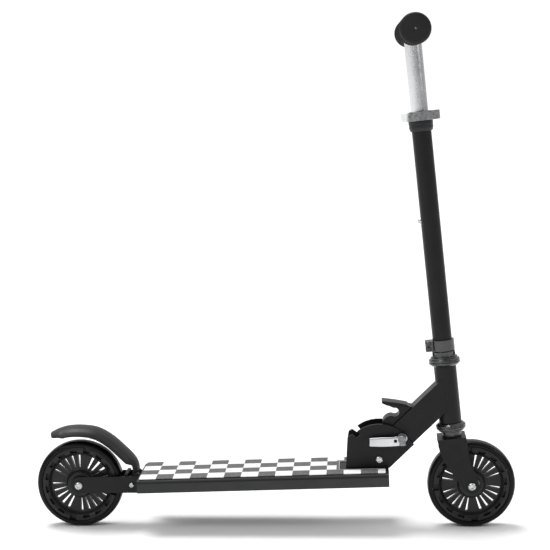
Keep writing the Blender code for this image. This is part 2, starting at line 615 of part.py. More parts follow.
def make_lower_column(column):
    tube = sleeve(LOWER_TUBE_BORE, LOWER_TUBE_RADIUS, CLAMP_LOW, HEIGHT_CLAMP_HIGH - 1 * MM, ROUND)
    tube = add("lower_tube", tube, BLACK, column)
    hole = rod(3.9 * MM, -30 * MM, 0, 16)
    backwards = Matrix.Rotation(math.radians(90), 4, "Y")
    cut(tube, "button_hole", hole, column, (0, 0, BUTTON_HEIGHT), backwards)
    ring = add("lower_clamp", sleeve(5 * MM, 15.8 * MM, CLAMP_LOW, CLAMP_HIGH, ROUND), BLACK, column)
    ears = block((-23.7 * MM, -8 * MM, CLAMP_LOW + 0.2 * MM), (-9 * MM, 8 * MM, CLAMP_HIGH - 0.2 * MM))
    cut(ring, "lower_clamp_ears", ears, column, join=True)
    inside = rod(LOWER_TUBE_RADIUS + GAP, CLAMP_LOW - 9 * MM, CLAMP_HIGH + 9 * MM, ROUND)
    cut(ring, "lower_clamp_bore", inside, column)
    slit = block((-30 * MM, -1 * MM, CLAMP_LOW - 9 * MM), (-8 * MM, 1 * MM, CLAMP_HIGH + 9 * MM))
    cut(ring, "lower_clamp_slit", slit, column)
    for name, s in (("lower_clamp_bolt_low", 250 * MM), ("lower_clamp_bolt_high", 257.4 * MM)):
        bore = rod(2.3 * MM, -20 * MM, 20 * MM, 16)
        cut(ring, name + "_bore", bore, column, (-19.6 * MM, 0, s), ALONG_Y)
        bolt = headed(2 * MM, 3.3 * MM, 2.4 * MM, 17.6 * MM, 16)
        add(name, bolt, BLACK, column, (-19.6 * MM, -8.3 * MM, s), ALONG_MINUS_Y)
    bush = [(13.4, 0), (14.6, 0), (16.2, 4), (16.4, 13.6), (15.6, 14.6), (13.4, 14.6)]
    bush = [(r * MM, BUSH_LOW + h * MM) for r, h in bush]
    add("tube_bush", turned(bush, ROUND), PLASTIC, column)


def make_height_clamp(column):
    """A split alloy ring round the tube's top, with its ears in front and a cam lever across them."""
    low, high = HEIGHT_CLAMP_LOW, HEIGHT_CLAMP_HIGH
    ring = add("height_clamp", sleeve(5 * MM, 17 * MM, low, high, ROUND), SILVER, column)
    ears = block((9 * MM, -9 * MM, low + 0.2 * MM), (26 * MM, 9 * MM, high - 0.2 * MM))
    cut(ring, "height_clamp_ears", ears, column, join=True)
    inside = rod(LOWER_TUBE_RADIUS + GAP, low - 9 * MM, high + 9 * MM, ROUND)
    cut(ring, "height_clamp_bore", inside, column)
    slit = block((8 * MM, -1.1 * MM, low - 9 * MM), (40 * MM, 1.1 * MM, high + 9 * MM))
    cut(ring, "height_clamp_slit", slit, column)
    s, u = (low + high) / 2, 20.6 * MM
    bore = rod(2.8 * MM, -20 * MM, 20 * MM, 16)
    cut(ring, "height_clamp_cross_bore", bore, column, (u, 0, s), ALONG_Y)
    add("height_clamp_bolt", rod(2.4 * MM, -11.8 * MM, 14 * MM, 16), STEEL, column, (u, 0, s), ALONG_Y)
    add("height_clamp_nut", nut(2.7 * MM, 8 * MM, 4 * MM), STEEL, column, (u, 9.3 * MM, s), ALONG_Y)
    lever_low, lever_high = low - 0.4 * MM, high + 0.4 * MM
    outline = [(0, 2.2)] + arc((0, 0), 5.2, 90, -35, 8)
    outline += [(-8, -6.4), (-22, -8.2), (-36, -7.6), (-46.5, -3.4), (-47, -1.2), (-36, -5.2), (-22, -5.9)]
    outline += [(-9, -4), (-4, 2.2)]
    lever = prism([(x * MM, -y * MM) for x, y in outline], lever_low, lever_high)
    # The outline is drawn in plan, then stood upright along the column.
    upright = Matrix.Rotation(math.radians(90), 4, "X")
    return add("height_clamp_lever", lever, SILVER, column, (u, -17.4 * MM, 0), upright)


def make_height_button(column):
    """A spring button that stands out of the back of the lower tube, on a leaf spring inside."""
    profile = [(0, 4), (2.4, 3.6), (3.4, 2.4), (3.5, 1), (3.5, -4), (0, -4)]
    profile = [(r * MM, h * MM + LOWER_TUBE_RADIUS) for r, h in profile]
    backwards = Matrix.Rotation(math.radians(-90), 4, "Y")
    button = turned(profile, 20, ring=False)
    add("height_button", button, STEEL, column, (0, 0, BUTTON_HEIGHT), backwards)
    half = 3 * MM
    outer = [(-8.6, 6), (-8.6, -10), (-6, -22), (-1, -27), (4, -22), (7.6, -8), (8.6, 4)]
    inner = [(7.8, 4), (6.8, -8), (3.3, -21.5), (-1, -25.9), (-5.3, -21.6), (-7.8, -10), (-7.8, 6)]
    outline = [(x * MM, z * MM) for x, z in outer + inner]
    add("button_spring", prism(outline, -half, half), STEEL, column, (0, 0, BUTTON_HEIGHT))


def make_handlebar(column):
    """The height-adjusting tube with the cross bar on top and a grip on each end."""
    tube = sleeve(UPPER_TUBE_BORE, UPPER_TUBE_RADIUS, 402 * MM, BAR_HEIGHT, ROUND)
    tube = add("upper_tube", tube, SILVER, column)
    cope = rod(BAR_RADIUS + GAP, -40 * MM, 40 * MM, ROUND)
    cut(tube, "upper_tube_cope", cope, column, (0, 0, BAR_HEIGHT), ALONG_Y)
    slot = block((-30 * MM, -4.2 * MM, 380 * MM), (-4 * MM, 4.2 * MM, 506 * MM))
    cut(tube, "upper_tube_slot", slot, column)
    above = block((-30 * MM, -30 * MM, BAR_HEIGHT - 1 * MM), (30 * MM, 30 * MM, BAR_HEIGHT + 40 * MM))
    cut(tube, "upper_tube_end", above, column)
    place = (0, 0, BAR_HEIGHT)
    bar = sleeve(9.4 * MM, BAR_RADIUS, -BAR_HALF_LENGTH, BAR_HALF_LENGTH, ROUND)
    add("handlebar", bar, SILVER, column, place, ALONG_Y)
    profile = [(2, 150), (17, 150), (20, 147.6), (20, 144.6), (15.6, 142), (15, 118), (15.8, 56)]
    profile += [(20, 51.4), (20, 48.6), (18.6, 47.4), (11.5, 47.4), (11.5, 146.6), (2, 146.6)]
    grip = [(r * MM, h * MM) for r, h in profile]
    add("grip_left", turned(grip, ROUND), RUBBER, column, place, ALONG_Y)
    add("grip_right", turned(grip, ROUND), RUBBER, column, place, ALONG_MINUS_Y)


def main():
    clear_scene()
    deck = frame("deck_frame", *DECK_CENTRE, DECK_PITCH)
    neck = frame("neck_frame", *PIVOT, NECK_ANGLE)
    column = frame("column_frame", COLUMN_FOOT_X, 0, COLUMN_LEAN)
    make_deck(deck)
    make_grip_tape(deck)
    make_fold_bracket()
    make_bracket_bolts()
    make_pin_across("fold_pivot_bolt", PIVOT, 4 * MM, 5.2 * MM, BRACKET_OUTER + GAP, BRACKET_OUTER + 6 * MM)
    make_nut_across("fold_pivot_nut", PIVOT, 4.3 * MM, 12 * MM, BRACKET_OUTER + GAP, 5 * MM)
    skewer = skewer_place()
    skewer_rod = [(0, -25.6), (3, -25.6), (3, -20.4), (7, -20.4), (7, -18.8), (3, -18.8), (3, 24.6), (0, 24.6)]
    skewer_rod = turned([(r * MM, h * MM) for r, h in skewer_rod], 20, ring=False)
    add("fold_skewer", skewer_rod, STEEL, None, (skewer[0], 0, skewer[1]), ALONG_Y)
    make_nut_across("fold_skewer_nut", skewer, 3.3 * MM, 11 * MM, BRACKET_OUTER + GAP, 4.6 * MM)
    make_fold_lever()
    make_tail()
    make_pin_across("fender_pin", FENDER_PIN, 2.6 * MM, 3.7 * MM, TAIL_OUTER + GAP, TAIL_OUTER + 5 * MM)
    make_nut_across("fender_pin_nut", FENDER_PIN, 2.9 * MM, 8 * MM, TAIL_OUTER + GAP, 4 * MM)
    make_fender_spring()
    make_fender()
    make_wheel("rear", REAR_AXLE)
    make_axle("rear", REAR_AXLE, TAIL_INNER, TAIL_OUTER)
    make_wheel("front", FRONT_AXLE)
    make_axle("front", FRONT_AXLE, FORK_INNER, FORK_OUTER)
    make_neck(neck, column)
    make_head(column)
    make_release_hook(neck)
    make_fork(column)
    make_lower_column(column)
    make_height_clamp(column)
    make_height_button(column)
    make_handlebar(column)


main()
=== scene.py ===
"""Looks of a child's folding kick scooter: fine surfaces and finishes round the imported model.

Lengths are written in millimetres in each sub-assembly's own frame, and a Place turns them into the
scooter's frame in metres: X forwards, Y to the scooter's left, Z up.
"""

from __future__ import annotations

import json
import logging
import math
from dataclasses import dataclass
from enum import Enum

import bmesh
import bpy
import numpy as np
from mathutils import Matrix, Vector

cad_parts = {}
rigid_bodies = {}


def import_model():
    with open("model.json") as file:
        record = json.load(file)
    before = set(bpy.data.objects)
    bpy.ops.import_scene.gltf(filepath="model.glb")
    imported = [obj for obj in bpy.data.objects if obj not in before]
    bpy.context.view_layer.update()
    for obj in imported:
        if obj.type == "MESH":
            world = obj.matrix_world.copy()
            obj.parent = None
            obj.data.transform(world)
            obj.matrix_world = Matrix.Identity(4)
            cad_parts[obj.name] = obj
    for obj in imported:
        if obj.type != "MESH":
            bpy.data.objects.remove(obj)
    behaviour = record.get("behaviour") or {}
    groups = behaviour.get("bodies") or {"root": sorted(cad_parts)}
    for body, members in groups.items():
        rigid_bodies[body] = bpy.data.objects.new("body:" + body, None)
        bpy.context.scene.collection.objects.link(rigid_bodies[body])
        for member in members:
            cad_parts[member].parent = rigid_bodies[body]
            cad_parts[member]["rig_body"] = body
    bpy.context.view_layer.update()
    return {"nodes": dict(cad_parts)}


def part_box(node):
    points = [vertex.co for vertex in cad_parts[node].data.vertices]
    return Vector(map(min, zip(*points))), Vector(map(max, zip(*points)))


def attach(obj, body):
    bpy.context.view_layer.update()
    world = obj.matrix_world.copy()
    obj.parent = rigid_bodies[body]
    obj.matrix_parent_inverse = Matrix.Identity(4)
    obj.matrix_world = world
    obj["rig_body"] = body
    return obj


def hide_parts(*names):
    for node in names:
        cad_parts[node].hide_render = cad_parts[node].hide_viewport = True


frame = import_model()

LOG = logging.getLogger("scooter")
MM = 0.001
MERGE = 2e-6  # points of a new surface that are nearer than this, in metres, are one point
WELD = 1e-5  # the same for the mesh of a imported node
SHARP = math.radians(38)  # faces that meet at more than this angle keep a hard edge
WHEEL_RADIUS = 60.0
TILE = 23.2  # side of one tile of the grip tape
TAPE_REAR, TAPE_FRONT, TAPE_HALF = -168.5, 166.5, 46.5
CUT_REAR, CUT_HALF = 104.0, 23.0  # the tape's cut-out for the fold bracket
Outline = list[tuple[float, float]]


# --- Places and shapes ---------------------------------------------------------------------------


@dataclass(frozen=True)
class Place:
    """A frame whose origin is (x, z) in millimetres, turned nose up by some degrees about Y."""

    x: float
    z: float
    turn: float = 0.0

    def world(self, points: np.ndarray) -> np.ndarray:
        """Turns points about Y, moves them to the origin and scales them to metres.

        Args:
            points: Array ending in (x, y, z), in this frame.

        Returns:
            The same points in the scooter's frame, in metres.
        """
        c, s = math.cos(math.radians(self.turn)), math.sin(math.radians(self.turn))
        x, y, z = points[..., 0], points[..., 1], points[..., 2]
        return np.stack([self.x + x * c - z * s, y, self.z + x * s + z * c], axis=-1) * MM

    def local(self, points: np.ndarray) -> np.ndarray:
        """The opposite of world: metres in the scooter's frame to millimetres in this one."""
        c, s = math.cos(math.radians(self.turn)), math.sin(math.radians(self.turn))
        x, z = points[..., 0] / MM - self.x, points[..., 2] / MM - self.z
        return np.stack([x * c + z * s, points[..., 1] / MM, -x * s + z * c], axis=-1)


COLUMN = Place(255.9, 0, 5.57)
NECK = Place(144.1, 96.4, 44)
DECK = Place(-14, 80, 1.6)
REAR_AXLE = Place(-269.8, WHEEL_RADIUS)
FRONT_AXLE = Place(269.8, WHEEL_RADIUS)
FENDER_PIN = Place(-196.3, 61.2)
SKEWER = Place(175.25, 126.48)


class Axis(Enum):
    """The local direction in which a turned piece's height runs."""

    UP = "up"
    LEFT = "left"
    RIGHT = "right"
    BACK = "back"

    def lay(self, across: np.ndarray, over: np.ndarray, height: np.ndarray) -> np.ndarray:
        """Puts the two coordinates round the axis and the height along it into (x, y, z).

        Args:
            across: First coordinate in the turned section's plane.
            over: Second coordinate in that plane.
            height: Distance along the axis.

        Returns:
            Array of the same shape with a last axis of three.
        """
        order = {
            Axis.UP: (across, over, height),
            Axis.LEFT: (across, height, over),
            Axis.RIGHT: (across, -height, over),
            Axis.BACK: (-height, across, over),
        }[self]
        return np.stack(order, axis=-1)


def rounded(path: Outline | np.ndarray, radius: float, steps: int = 4, closed: bool = True) -> np.ndarray:
    """Rounds the corners of a path.

    Each corner C becomes the curve (1-t)^2 A + 2t(1-t) C + t^2 B, where A and B lie on the two sides
    that meet in C, `radius` away from it or just under half a side.

    Args:
        path: Corner points.
        radius: Distance from a corner at which its curve begins.
        steps: Straight pieces for each corner.
        closed: Whether the last point joins the first. An open path keeps its ends.

    Returns:
        Array of points, (corners * (steps + 1), 2).
    """
    corner = np.asarray(path, dtype=float)
    back, ahead = np.roll(corner, 1, axis=0) - corner, np.roll(corner, -1, axis=0) - corner
    long_back = np.linalg.norm(back, axis=1, keepdims=True)
    long_ahead = np.linalg.norm(ahead, axis=1, keepdims=True)
    reach = np.minimum(radius, 0.48 * np.minimum(long_back, long_ahead))
    if not closed:
        reach[[0, -1]] = 0
    start, end = corner + back / long_back * reach, corner + ahead / long_ahead * reach
    t = np.linspace(0, 1, steps + 1)[None, :, None]
    curve = (1 - t) ** 2 * start[:, None] + 2 * t * (1 - t) * corner[:, None] + t**2 * end[:, None]
    return curve.reshape(-1, 2)


def circle(x: float, z: float, radius: float, start: float, end: float, steps: int = 16) -> Outline:
    """Points of an arc about (x, z), from angle `start` to `end` in degrees."""
    angle = np.radians(np.linspace(start, end, steps + 1))
    return list(zip(x + radius * np.cos(angle), z + radius * np.sin(angle)))


class Shell:
    """Closed surfaces collected as points and faces, then made into one piece."""

    def __init__(self) -> None:
        """Starts empty."""
        self.points: list[np.ndarray] = []
        self.faces: list[list[int]] = []
        self.count = 0

    def grid(self, points: np.ndarray, wrap_rows: bool, wrap_columns: bool, cap: bool = False) -> "Shell":
        """Adds a surface of two parameters: points[i, j] joined to its neighbours in quads.

        Args:
            points: Array (rows, columns, 3), in metres.
            wrap_rows: Whether the last row joins the first.
            wrap_columns: Whether the last column joins the first.
            cap: Whether the first and the last row are filled in.

        Returns:
            This shell.
        """
        rows, columns = points.shape[:2]
        index = np.arange(rows * columns).reshape(rows, columns) + self.count
        if wrap_rows:
            index = np.concatenate([index, index[:1]])
        if wrap_columns:
            index = np.concatenate([index, index[:, :1]], axis=1)
        quads = np.stack([index[:-1, :-1], index[1:, :-1], index[1:, 1:], index[:-1, 1:]], axis=-1)
        self.faces += quads.reshape(-1, 4).tolist()
        if cap:
            ends = index[:, :-1] if wrap_columns else index
            self.faces += [ends[0].tolist(), ends[-1].tolist()]
        self.points.append(points.reshape(-1, 3))
        self.count += rows * columns
        return self

    def turned(
        self,
        profile: Outline | np.ndarray,
        place: Place,
        axis: Axis,
        at: tuple[float, float, float] = (0, 0, 0),
        sides: int = 64,
        soften: float = 0.6,
        ring: bool = True,
    ) -> "Shell":
        """Adds a turned surface: (r, h) of the profile becomes (r cos a, r sin a, h) for every angle a.

        Args:
            profile: Points (radius, height) in millimetres.
            place: Frame of the sub-assembly.
            axis: Direction of the height.
            at: Where the profile's zero lies in that frame.
            sides: Steps round the axis.
            soften: How far the profile's corners are rounded.
            ring: Whether the profile closes on itself. If not, it begins and ends on the axis.

        Returns:
            This shell.
        """
        shape = rounded(profile, soften, closed=ring)
        angle = 2 * np.pi * np.arange(sides) / sides
        radius, height = shape[:, 0][:, None], shape[:, 1][:, None]
        local = axis.lay(radius * np.cos(angle), radius * np.sin(angle), height + 0 * angle)
        return self.grid(place.world(local + np.array(at)), ring, True)

    def plate(
        self,
        outline: Outline | np.ndarray,
        low: float,
        high: float,
        place: Place,
        edge: float = 0.6,
        soften: float = 1.0,
        flat: bool = False,
    ) -> "Shell":
        """Adds a plate: its outline carried across the thickness along a quarter circle at each edge.

        At angle a the outline is drawn in along its own normal by edge * (1 - sin a), at a depth of
        edge * (1 - cos a) under the face.

        Args:
            outline: Points (x, z), or (x, y) if flat.
            low: First face, along y, or along z if flat.
            high: Second face.
            place: Frame of the sub-assembly.
            edge: Radius of the edges.
            soften: How far the outline's corners are rounded.
            flat: Whether the plate lies flat.

        Returns:
            This shell.
        """
        shape = rounded(outline, soften)
        shape = shape[np.linalg.norm(shape - np.roll(shape, 1, axis=0), axis=1) > 1e-4]
        along = np.roll(shape, -1, axis=0) - np.roll(shape, 1, axis=0)
        normal = np.stack([along[:, 1], -along[:, 0]], axis=1)
        normal /= np.linalg.norm(normal, axis=1, keepdims=True)
        x, z = shape[:, 0], shape[:, 1]
        if np.sum(x * np.roll(z, -1) - z * np.roll(x, -1)) < 0:
            normal = -normal
        a = np.linspace(0, np.pi / 2, 5)
        inset = edge * (1 - np.sin(a))
        depth = edge * (1 - np.cos(a))
        inset, height = np.append(inset, inset[::-1]), np.append(low + depth, high - depth[::-1])
        ring = shape[None] - normal[None] * inset[:, None, None]
        level = height[:, None] + 0 * ring[..., 0]
        order = (ring[..., 0], ring[..., 1], level) if flat else (ring[..., 0], level, ring[..., 1])
        return self.grid(place.world(np.stack(order, axis=-1)), False, True, cap=True)

    def mesh(self, name: str) -> bpy.types.Mesh:
        """Merges the doubles, closes the poles and turns every face outwards."""
        mesh = bpy.data.meshes.new(name)
        mesh.from_pydata(np.concatenate(self.points).tolist(), [], self.faces)
        return tidied(mesh)

    def piece(self, name: str, finish: "Finish", body: str, *nodes: str) -> bpy.types.Object:
        """Makes the piece that rides on a body and stands for the named nodes."""
        return settle(name, self.mesh(name), finish, body, *nodes)


def tidied(mesh: bpy.types.Mesh) -> bpy.types.Mesh:
    """Merges doubles, drops faces with no area and turns the normals outwards."""
    bm = bmesh.new()
    bm.from_mesh(mesh)
    bmesh.ops.remove_doubles(bm, verts=bm.verts, dist=MERGE)
    bmesh.ops.dissolve_degenerate(bm, edges=bm.edges, dist=MERGE)
    bmesh.ops.recalc_face_normals(bm, faces=bm.faces)
    bm.to_mesh(mesh)
    bm.free()
    return mesh


def smoothed(mesh: bpy.types.Mesh) -> None:
    """Shades a mesh smooth between its hard edges."""
    mesh.shade_smooth()
    mesh.set_sharp_from_angle(angle=SHARP)


def evened(obj: bpy.types.Object) -> None:
    """Weighs a piece's normals by face, so that wide faces look flat."""
    obj.modifiers.new("even_normals", "WEIGHTED_NORMAL").keep_sharp = True


def settle(name: str, mesh: bpy.types.Mesh, finish: "Finish", body: str, *nodes: str) -> bpy.types.Object:
    """Shades a mesh, gives it a finish and lets it ride on a body.

    Args:
        name: The piece's name.
        mesh: Its mesh, in the scooter's frame.
        finish: Its finish.
        body: The body that it moves with.
        nodes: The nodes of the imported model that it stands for.

    Returns:
        The new object.
    """
    smoothed(mesh)
    mesh.materials.clear()
    mesh.materials.append(finish.material())
    obj = bpy.data.objects.new(name, mesh)
    bpy.context.scene.collection.objects.link(obj)
    evened(obj)
    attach(obj, body)
    if nodes:
        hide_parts(*nodes)
    LOG.info("%s: %d faces on %s", name, len(mesh.polygons), body)
    return obj


def carve(obj: bpy.types.Object, cutter: Shell) -> None:
    """Cuts one shell out of a piece with an exact Boolean and keeps the result as its mesh.

    The Boolean allows for closed surfaces of one piece that cross each other.
    """
    tool = bpy.data.objects.new("carving_tool", cutter.mesh("carving_tool"))
    bpy.context.scene.collection.objects.link(tool)
    obj.modifiers.clear()
    modifier = obj.modifiers.new("carve", "BOOLEAN")
    modifier.operation, modifier.solver, modifier.object = "DIFFERENCE", "EXACT", tool
    modifier.use_self = True
    bpy.context.view_layer.update()
    evaluated = obj.evaluated_get(bpy.context.evaluated_depsgraph_get())
    mesh = bpy.data.meshes.new_from_object(evaluated)
    obj.modifiers.clear()
    obj.data = mesh
    smoothed(mesh)
    evened(obj)
    bpy.data.objects.remove(tool)


def eased(node: str, name: str, finish: "Finish", edge: float, bend: float = 0.0) -> bpy.types.Object:
    """A piece from a node's own shape, with its edges rounded, and its long bends rounded more.

    Args:
        node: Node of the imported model.
        name: Name of the piece.
        finish: Its finish.
        edge: Radius of every sharp edge, in millimetres.
        bend: Radius of the sheet's outer bends: the longest edges, which run where both coordinates
            across them are at the plate's outside. Zero for none.

    Returns:
        The new object, which stands for the node.
    """
    source = frame["nodes"][node]
    mesh = source.data.copy()
    bm = bmesh.new()
    bm.from_mesh(mesh)
    bmesh.ops.remove_doubles(bm, verts=bm.verts, dist=WELD)
    bmesh.ops.dissolve_limit(bm, angle_limit=math.radians(0.6), verts=bm.verts, edges=bm.edges)
    weight = bm.edges.layers.float.new("bevel_weight_edge")
    low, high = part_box(node)
    least_turn, wide_face = math.radians(30), 3e-4
    for side in bm.edges:
        if len(side.link_faces) != 2 or side.calc_face_angle() < least_turn:
            continue
        side[weight] = edge / max(edge, bend)
        outside = all(min(abs(v.co.y - low.y), abs(v.co.y - high.y)) < WELD for v in side.verts)
        flat = any(abs(face.normal.y) < 0.02 and face.calc_area() > wide_face for face in side.link_faces)
        if bend and outside and flat:
            side[weight] = 1.0
    bm.to_mesh(mesh)
    bm.free()
    obj = settle(name, mesh, finish, source["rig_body"], node)
    obj.modifiers.clear()
    bevel = obj.modifiers.new("eased_edges", "BEVEL")
    bevel.limit_method, bevel.width, bevel.segments = "WEIGHT", max(edge, bend) * MM, 3
    bevel.use_clamp_overlap, bevel.loop_slide = True, True
    evened(obj)
    return obj


# --- Finishes ------------------------------------------------------------------------------------


class Nodes:
    """Short calls that add and join shader nodes."""

    def __init__(self, tree: bpy.types.NodeTree) -> None:
        """Keeps the tree."""
        self.tree = tree

    def add(
        self, kind: str, inputs: dict[str | int, object] | None = None, **settings: object
    ) -> bpy.types.Node:
        """Adds a node.

        Args:
            kind: The node's type name.
            inputs: Values or sockets for its inputs.
            settings: Properties of the node.

        Returns:
            The node.
        """
        node = self.tree.nodes.new(kind)
        for key, value in settings.items():
            setattr(node, key, value)
        for key, value in (inputs or {}).items():
            if isinstance(value, bpy.types.NodeSocket):
                self.tree.links.new(value, node.inputs[key])
            else:
                node.inputs[key].default_value = value
        return node

    def math(self, operation: str, first: object, second: object = 0.0) -> bpy.types.NodeSocket:
        """A Math node's result."""
        return self.add("ShaderNodeMath", {0: first, 1: second}, operation=operation).outputs[0]

    def noise(self, vector: bpy.types.NodeSocket, scale: float, detail: float) -> bpy.types.NodeSocket:
        """A noise texture's value, 0 to 1."""
        inputs = {"Vector": vector, "Scale": scale, "Detail": detail}
        return self.add("ShaderNodeTexNoise", inputs).outputs[0]

    def between(self, value: bpy.types.NodeSocket, low: float, high: float) -> bpy.types.NodeSocket:
        """Maps 0.3 to 0.7, where most noise lies, to low to high."""
        inputs = {"Value": value, "From Min": 0.3, "From Max": 0.7, "To Min": low, "To Max": high}
        return self.add("ShaderNodeMapRange", inputs).outputs[0]

    def mix(self, factor: object, first: object, second: object) -> bpy.types.NodeSocket:
        """A mix of two colours."""
        inputs = {0: factor, 6: first, 7: second}
        return self.add("ShaderNodeMix", inputs, data_type="RGBA").outputs[2]


@dataclass(frozen=True)
class Finish:
    """A surface finish: two tones mixed by soft noise, uneven gloss and a fine grain.

    Attributes:
        name: The material's name.
        slot: The record's material slot; not used.
        dark: Linear colour of the darker tone.
        light: Linear colour of the lighter tone.
        rough: Lowest and highest roughness.
        metallic: 1 for bare metal.
        patch: Noise scale of the tones, per metre.
        grain: Noise scale of the grain, per metre.
        depth: Height of the grain, in metres.
        stretch: How the grain is scaled along X, Y and Z, for drawn or brushed metal.
        lean: Turn of the grain about Y, in degrees.
        specular: The shader's IOR level.
    """

    name: str
    slot: str
    dark: tuple[float, float, float]
    light: tuple[float, float, float]
    rough: tuple[float, float]
    metallic: float = 0.0
    patch: float = 24.0
    grain: float = 1400.0
    depth: float = 0.00004
    stretch: tuple[float, float, float] = (1.0, 1.0, 1.0)
    lean: float = 0.0
    specular: float = 0.5

    def colour(self, nodes: Nodes, place: bpy.types.NodeSocket) -> bpy.types.NodeSocket:
        """The base colour: the two tones mixed by soft noise."""
        tone = nodes.between(nodes.noise(place, self.patch, 5.0), 0.0, 1.0)
        return nodes.mix(tone, (*self.dark, 1.0), (*self.light, 1.0))

    def material(self) -> bpy.types.Material:
        """Makes the material once and returns it after that."""
        made = bpy.data.materials.get(self.name)
        if made:
            return made
        made = bpy.data.materials.new(self.name)
        made.use_nodes = True
        nodes = Nodes(made.node_tree)
        shader = made.node_tree.nodes["Principled BSDF"]
        place = nodes.add("ShaderNodeTexCoord").outputs["Object"]
        inputs = {"Vector": place, "Rotation": (0.0, math.radians(self.lean), 0.0)}
        level = nodes.add("ShaderNodeMapping", inputs, vector_type="POINT").outputs[0]
        drawn = nodes.add("ShaderNodeMapping", {"Vector": level, "Scale": self.stretch}).outputs[0]
        grain = nodes.noise(drawn, self.grain, 4.0)
        smears = nodes.noise(place, self.patch * 2.7, 6.0)
        gloss = nodes.math("ADD", smears, nodes.math("MULTIPLY", grain, 0.5))
        rough = nodes.between(nodes.math("DIVIDE", gloss, 1.5), *self.rough)
        bump = nodes.add("ShaderNodeBump", {"Height": grain, "Distance": self.depth, "Strength": 0.6})
        links = made.node_tree.links
        links.new(self.colour(nodes, place), shader.inputs["Base Color"])
        links.new(rough, shader.inputs["Roughness"])
        links.new(bump.outputs[0], shader.inputs["Normal"])
        shader.inputs["Metallic"].default_value = self.metallic
        shader.inputs["Specular IOR Level"].default_value = self.specular
        return made


@dataclass(frozen=True)
class ChequerTape(Finish):
    """Grit tape printed with four rows of light and dark tiles, and a dark border round its cut-out.

    The piece's UV map counts tiles: U from the tape's rear end, V from its right side.
    """

    border: float = 4.2 / TILE
    rim: float = 0.9 / TILE

    def colour(self, nodes: Nodes, place: bpy.types.NodeSocket) -> bpy.types.NodeSocket:
        """Tile parity picks the tone; grit darkens the light tiles and sparkles on the dark ones."""
        uv = nodes.add("ShaderNodeUVMap", uv_map="tiles").outputs[0]
        split = nodes.add("ShaderNodeSeparateXYZ", {0: uv})
        u, v = split.outputs[0], split.outputs[1]
        parity = nodes.math("ADD", nodes.math("FLOOR", u), nodes.math("FLOOR", v))
        dark_tile = nodes.math("FLOORED_MODULO", parity, 2.0)
        aside = nodes.math("ABSOLUTE", nodes.math("SUBTRACT", v, 2.0))
        across = nodes.math("SUBTRACT", aside, CUT_HALF / TILE)
        behind = nodes.math("SUBTRACT", (CUT_REAR - TAPE_REAR) / TILE, u)
        away = nodes.math("MAXIMUM", across, behind)
        border = nodes.math("LESS_THAN", away, self.border)
        edge = nodes.math("LESS_THAN", away, self.rim)
        grit = nodes.noise(place, 2600.0, 2.0)
        fleck = nodes.math("GREATER_THAN", nodes.noise(place, 1700.0, 1.0), 0.64)
        pale = nodes.mix(nodes.between(grit, 0.0, 1.0), (0.58, 0.58, 0.58, 1.0), (*self.light, 1.0))
        deep = nodes.mix(nodes.between(grit, 0.0, 1.0), (*self.dark, 1.0), (0.13, 0.13, 0.13, 1.0))
        deep = nodes.mix(nodes.math("MULTIPLY", fleck, 0.45), deep, (0.6, 0.6, 0.6, 1.0))
        tile = nodes.mix(nodes.math("MAXIMUM", dark_tile, border), pale, deep)
        return nodes.mix(edge, tile, (0.45, 0.45, 0.45, 1.0))


@dataclass(frozen=True)
class CastWithPaintedTipHighlight(Finish):
    """A tumbled casting with a painted highlight on its free end."""

    tip: float = 0.182
    # Painted highlight: the bright colour laid on the lever's free end.
    painted_highlight: tuple[float, float, float] = (0.86, 0.865, 0.87)

    def colour(self, nodes: Nodes, place: bpy.types.NodeSocket) -> bpy.types.NodeSocket:
        """Mixes the painted highlight in behind the tip's X, over 3 mm."""
        split = nodes.add("ShaderNodeSeparateXYZ", {0: place})
        inputs = {"Value": split.outputs[0], "From Min": self.tip, "From Max": self.tip + 3 * MM}
        body = nodes.add("ShaderNodeMapRange", inputs).outputs[0]
        return nodes.mix(body, (*self.painted_highlight, 1.0), super().colour(nodes, place))


@dataclass(frozen=True)
class DeckCoatWithPaintedShade(Finish):
    """Powder coat on the deck, with painted shade that makes the rounded corners and the top darker than the
    sides.
    """

    # Painted shade: the darker tone laid over the deck's top and its rounded corners.
    corner: tuple[float, float, float] = (0.012, 0.012, 0.0125)

    def colour(self, nodes: Nodes, place: bpy.types.NodeSocket) -> bpy.types.NodeSocket:
        """Mixes the painted shade's tone in down to about 5 mm under the deck's top, which rises with X."""
        split = nodes.add("ShaderNodeSeparateXYZ", {0: place})
        slope = math.tan(math.radians(DECK.turn))
        rise = nodes.math("MULTIPLY", split.outputs[0], slope)
        top = nodes.math("ADD", rise, (DECK.z - DECK.x * slope) * MM)
        under = nodes.math("SUBTRACT", top, split.outputs[2])
        inputs = {"Value": under, "From Min": 4.4 * MM, "From Max": 5.4 * MM}
        side = nodes.add("ShaderNodeMapRange", inputs).outputs[0]
        return nodes.mix(side, (*self.corner, 1.0), super().colour(nodes, place))


SATIN_BLACK = Finish(
    "satin_black_powder_coat", "satin_black", (0.0055, 0.0055, 0.006), (0.0085, 0.0085, 0.009), (0.3, 0.44),
    grain=1100.0, depth=0.00005, specular=0.2,
)
CAST_BLACK = Finish(
    "cast_black_collar", "satin_black", (0.008, 0.008, 0.0085), (0.022, 0.022, 0.023), (0.14, 0.3),
    patch=120.0, grain=700.0, depth=0.0001, specular=0.8,
)
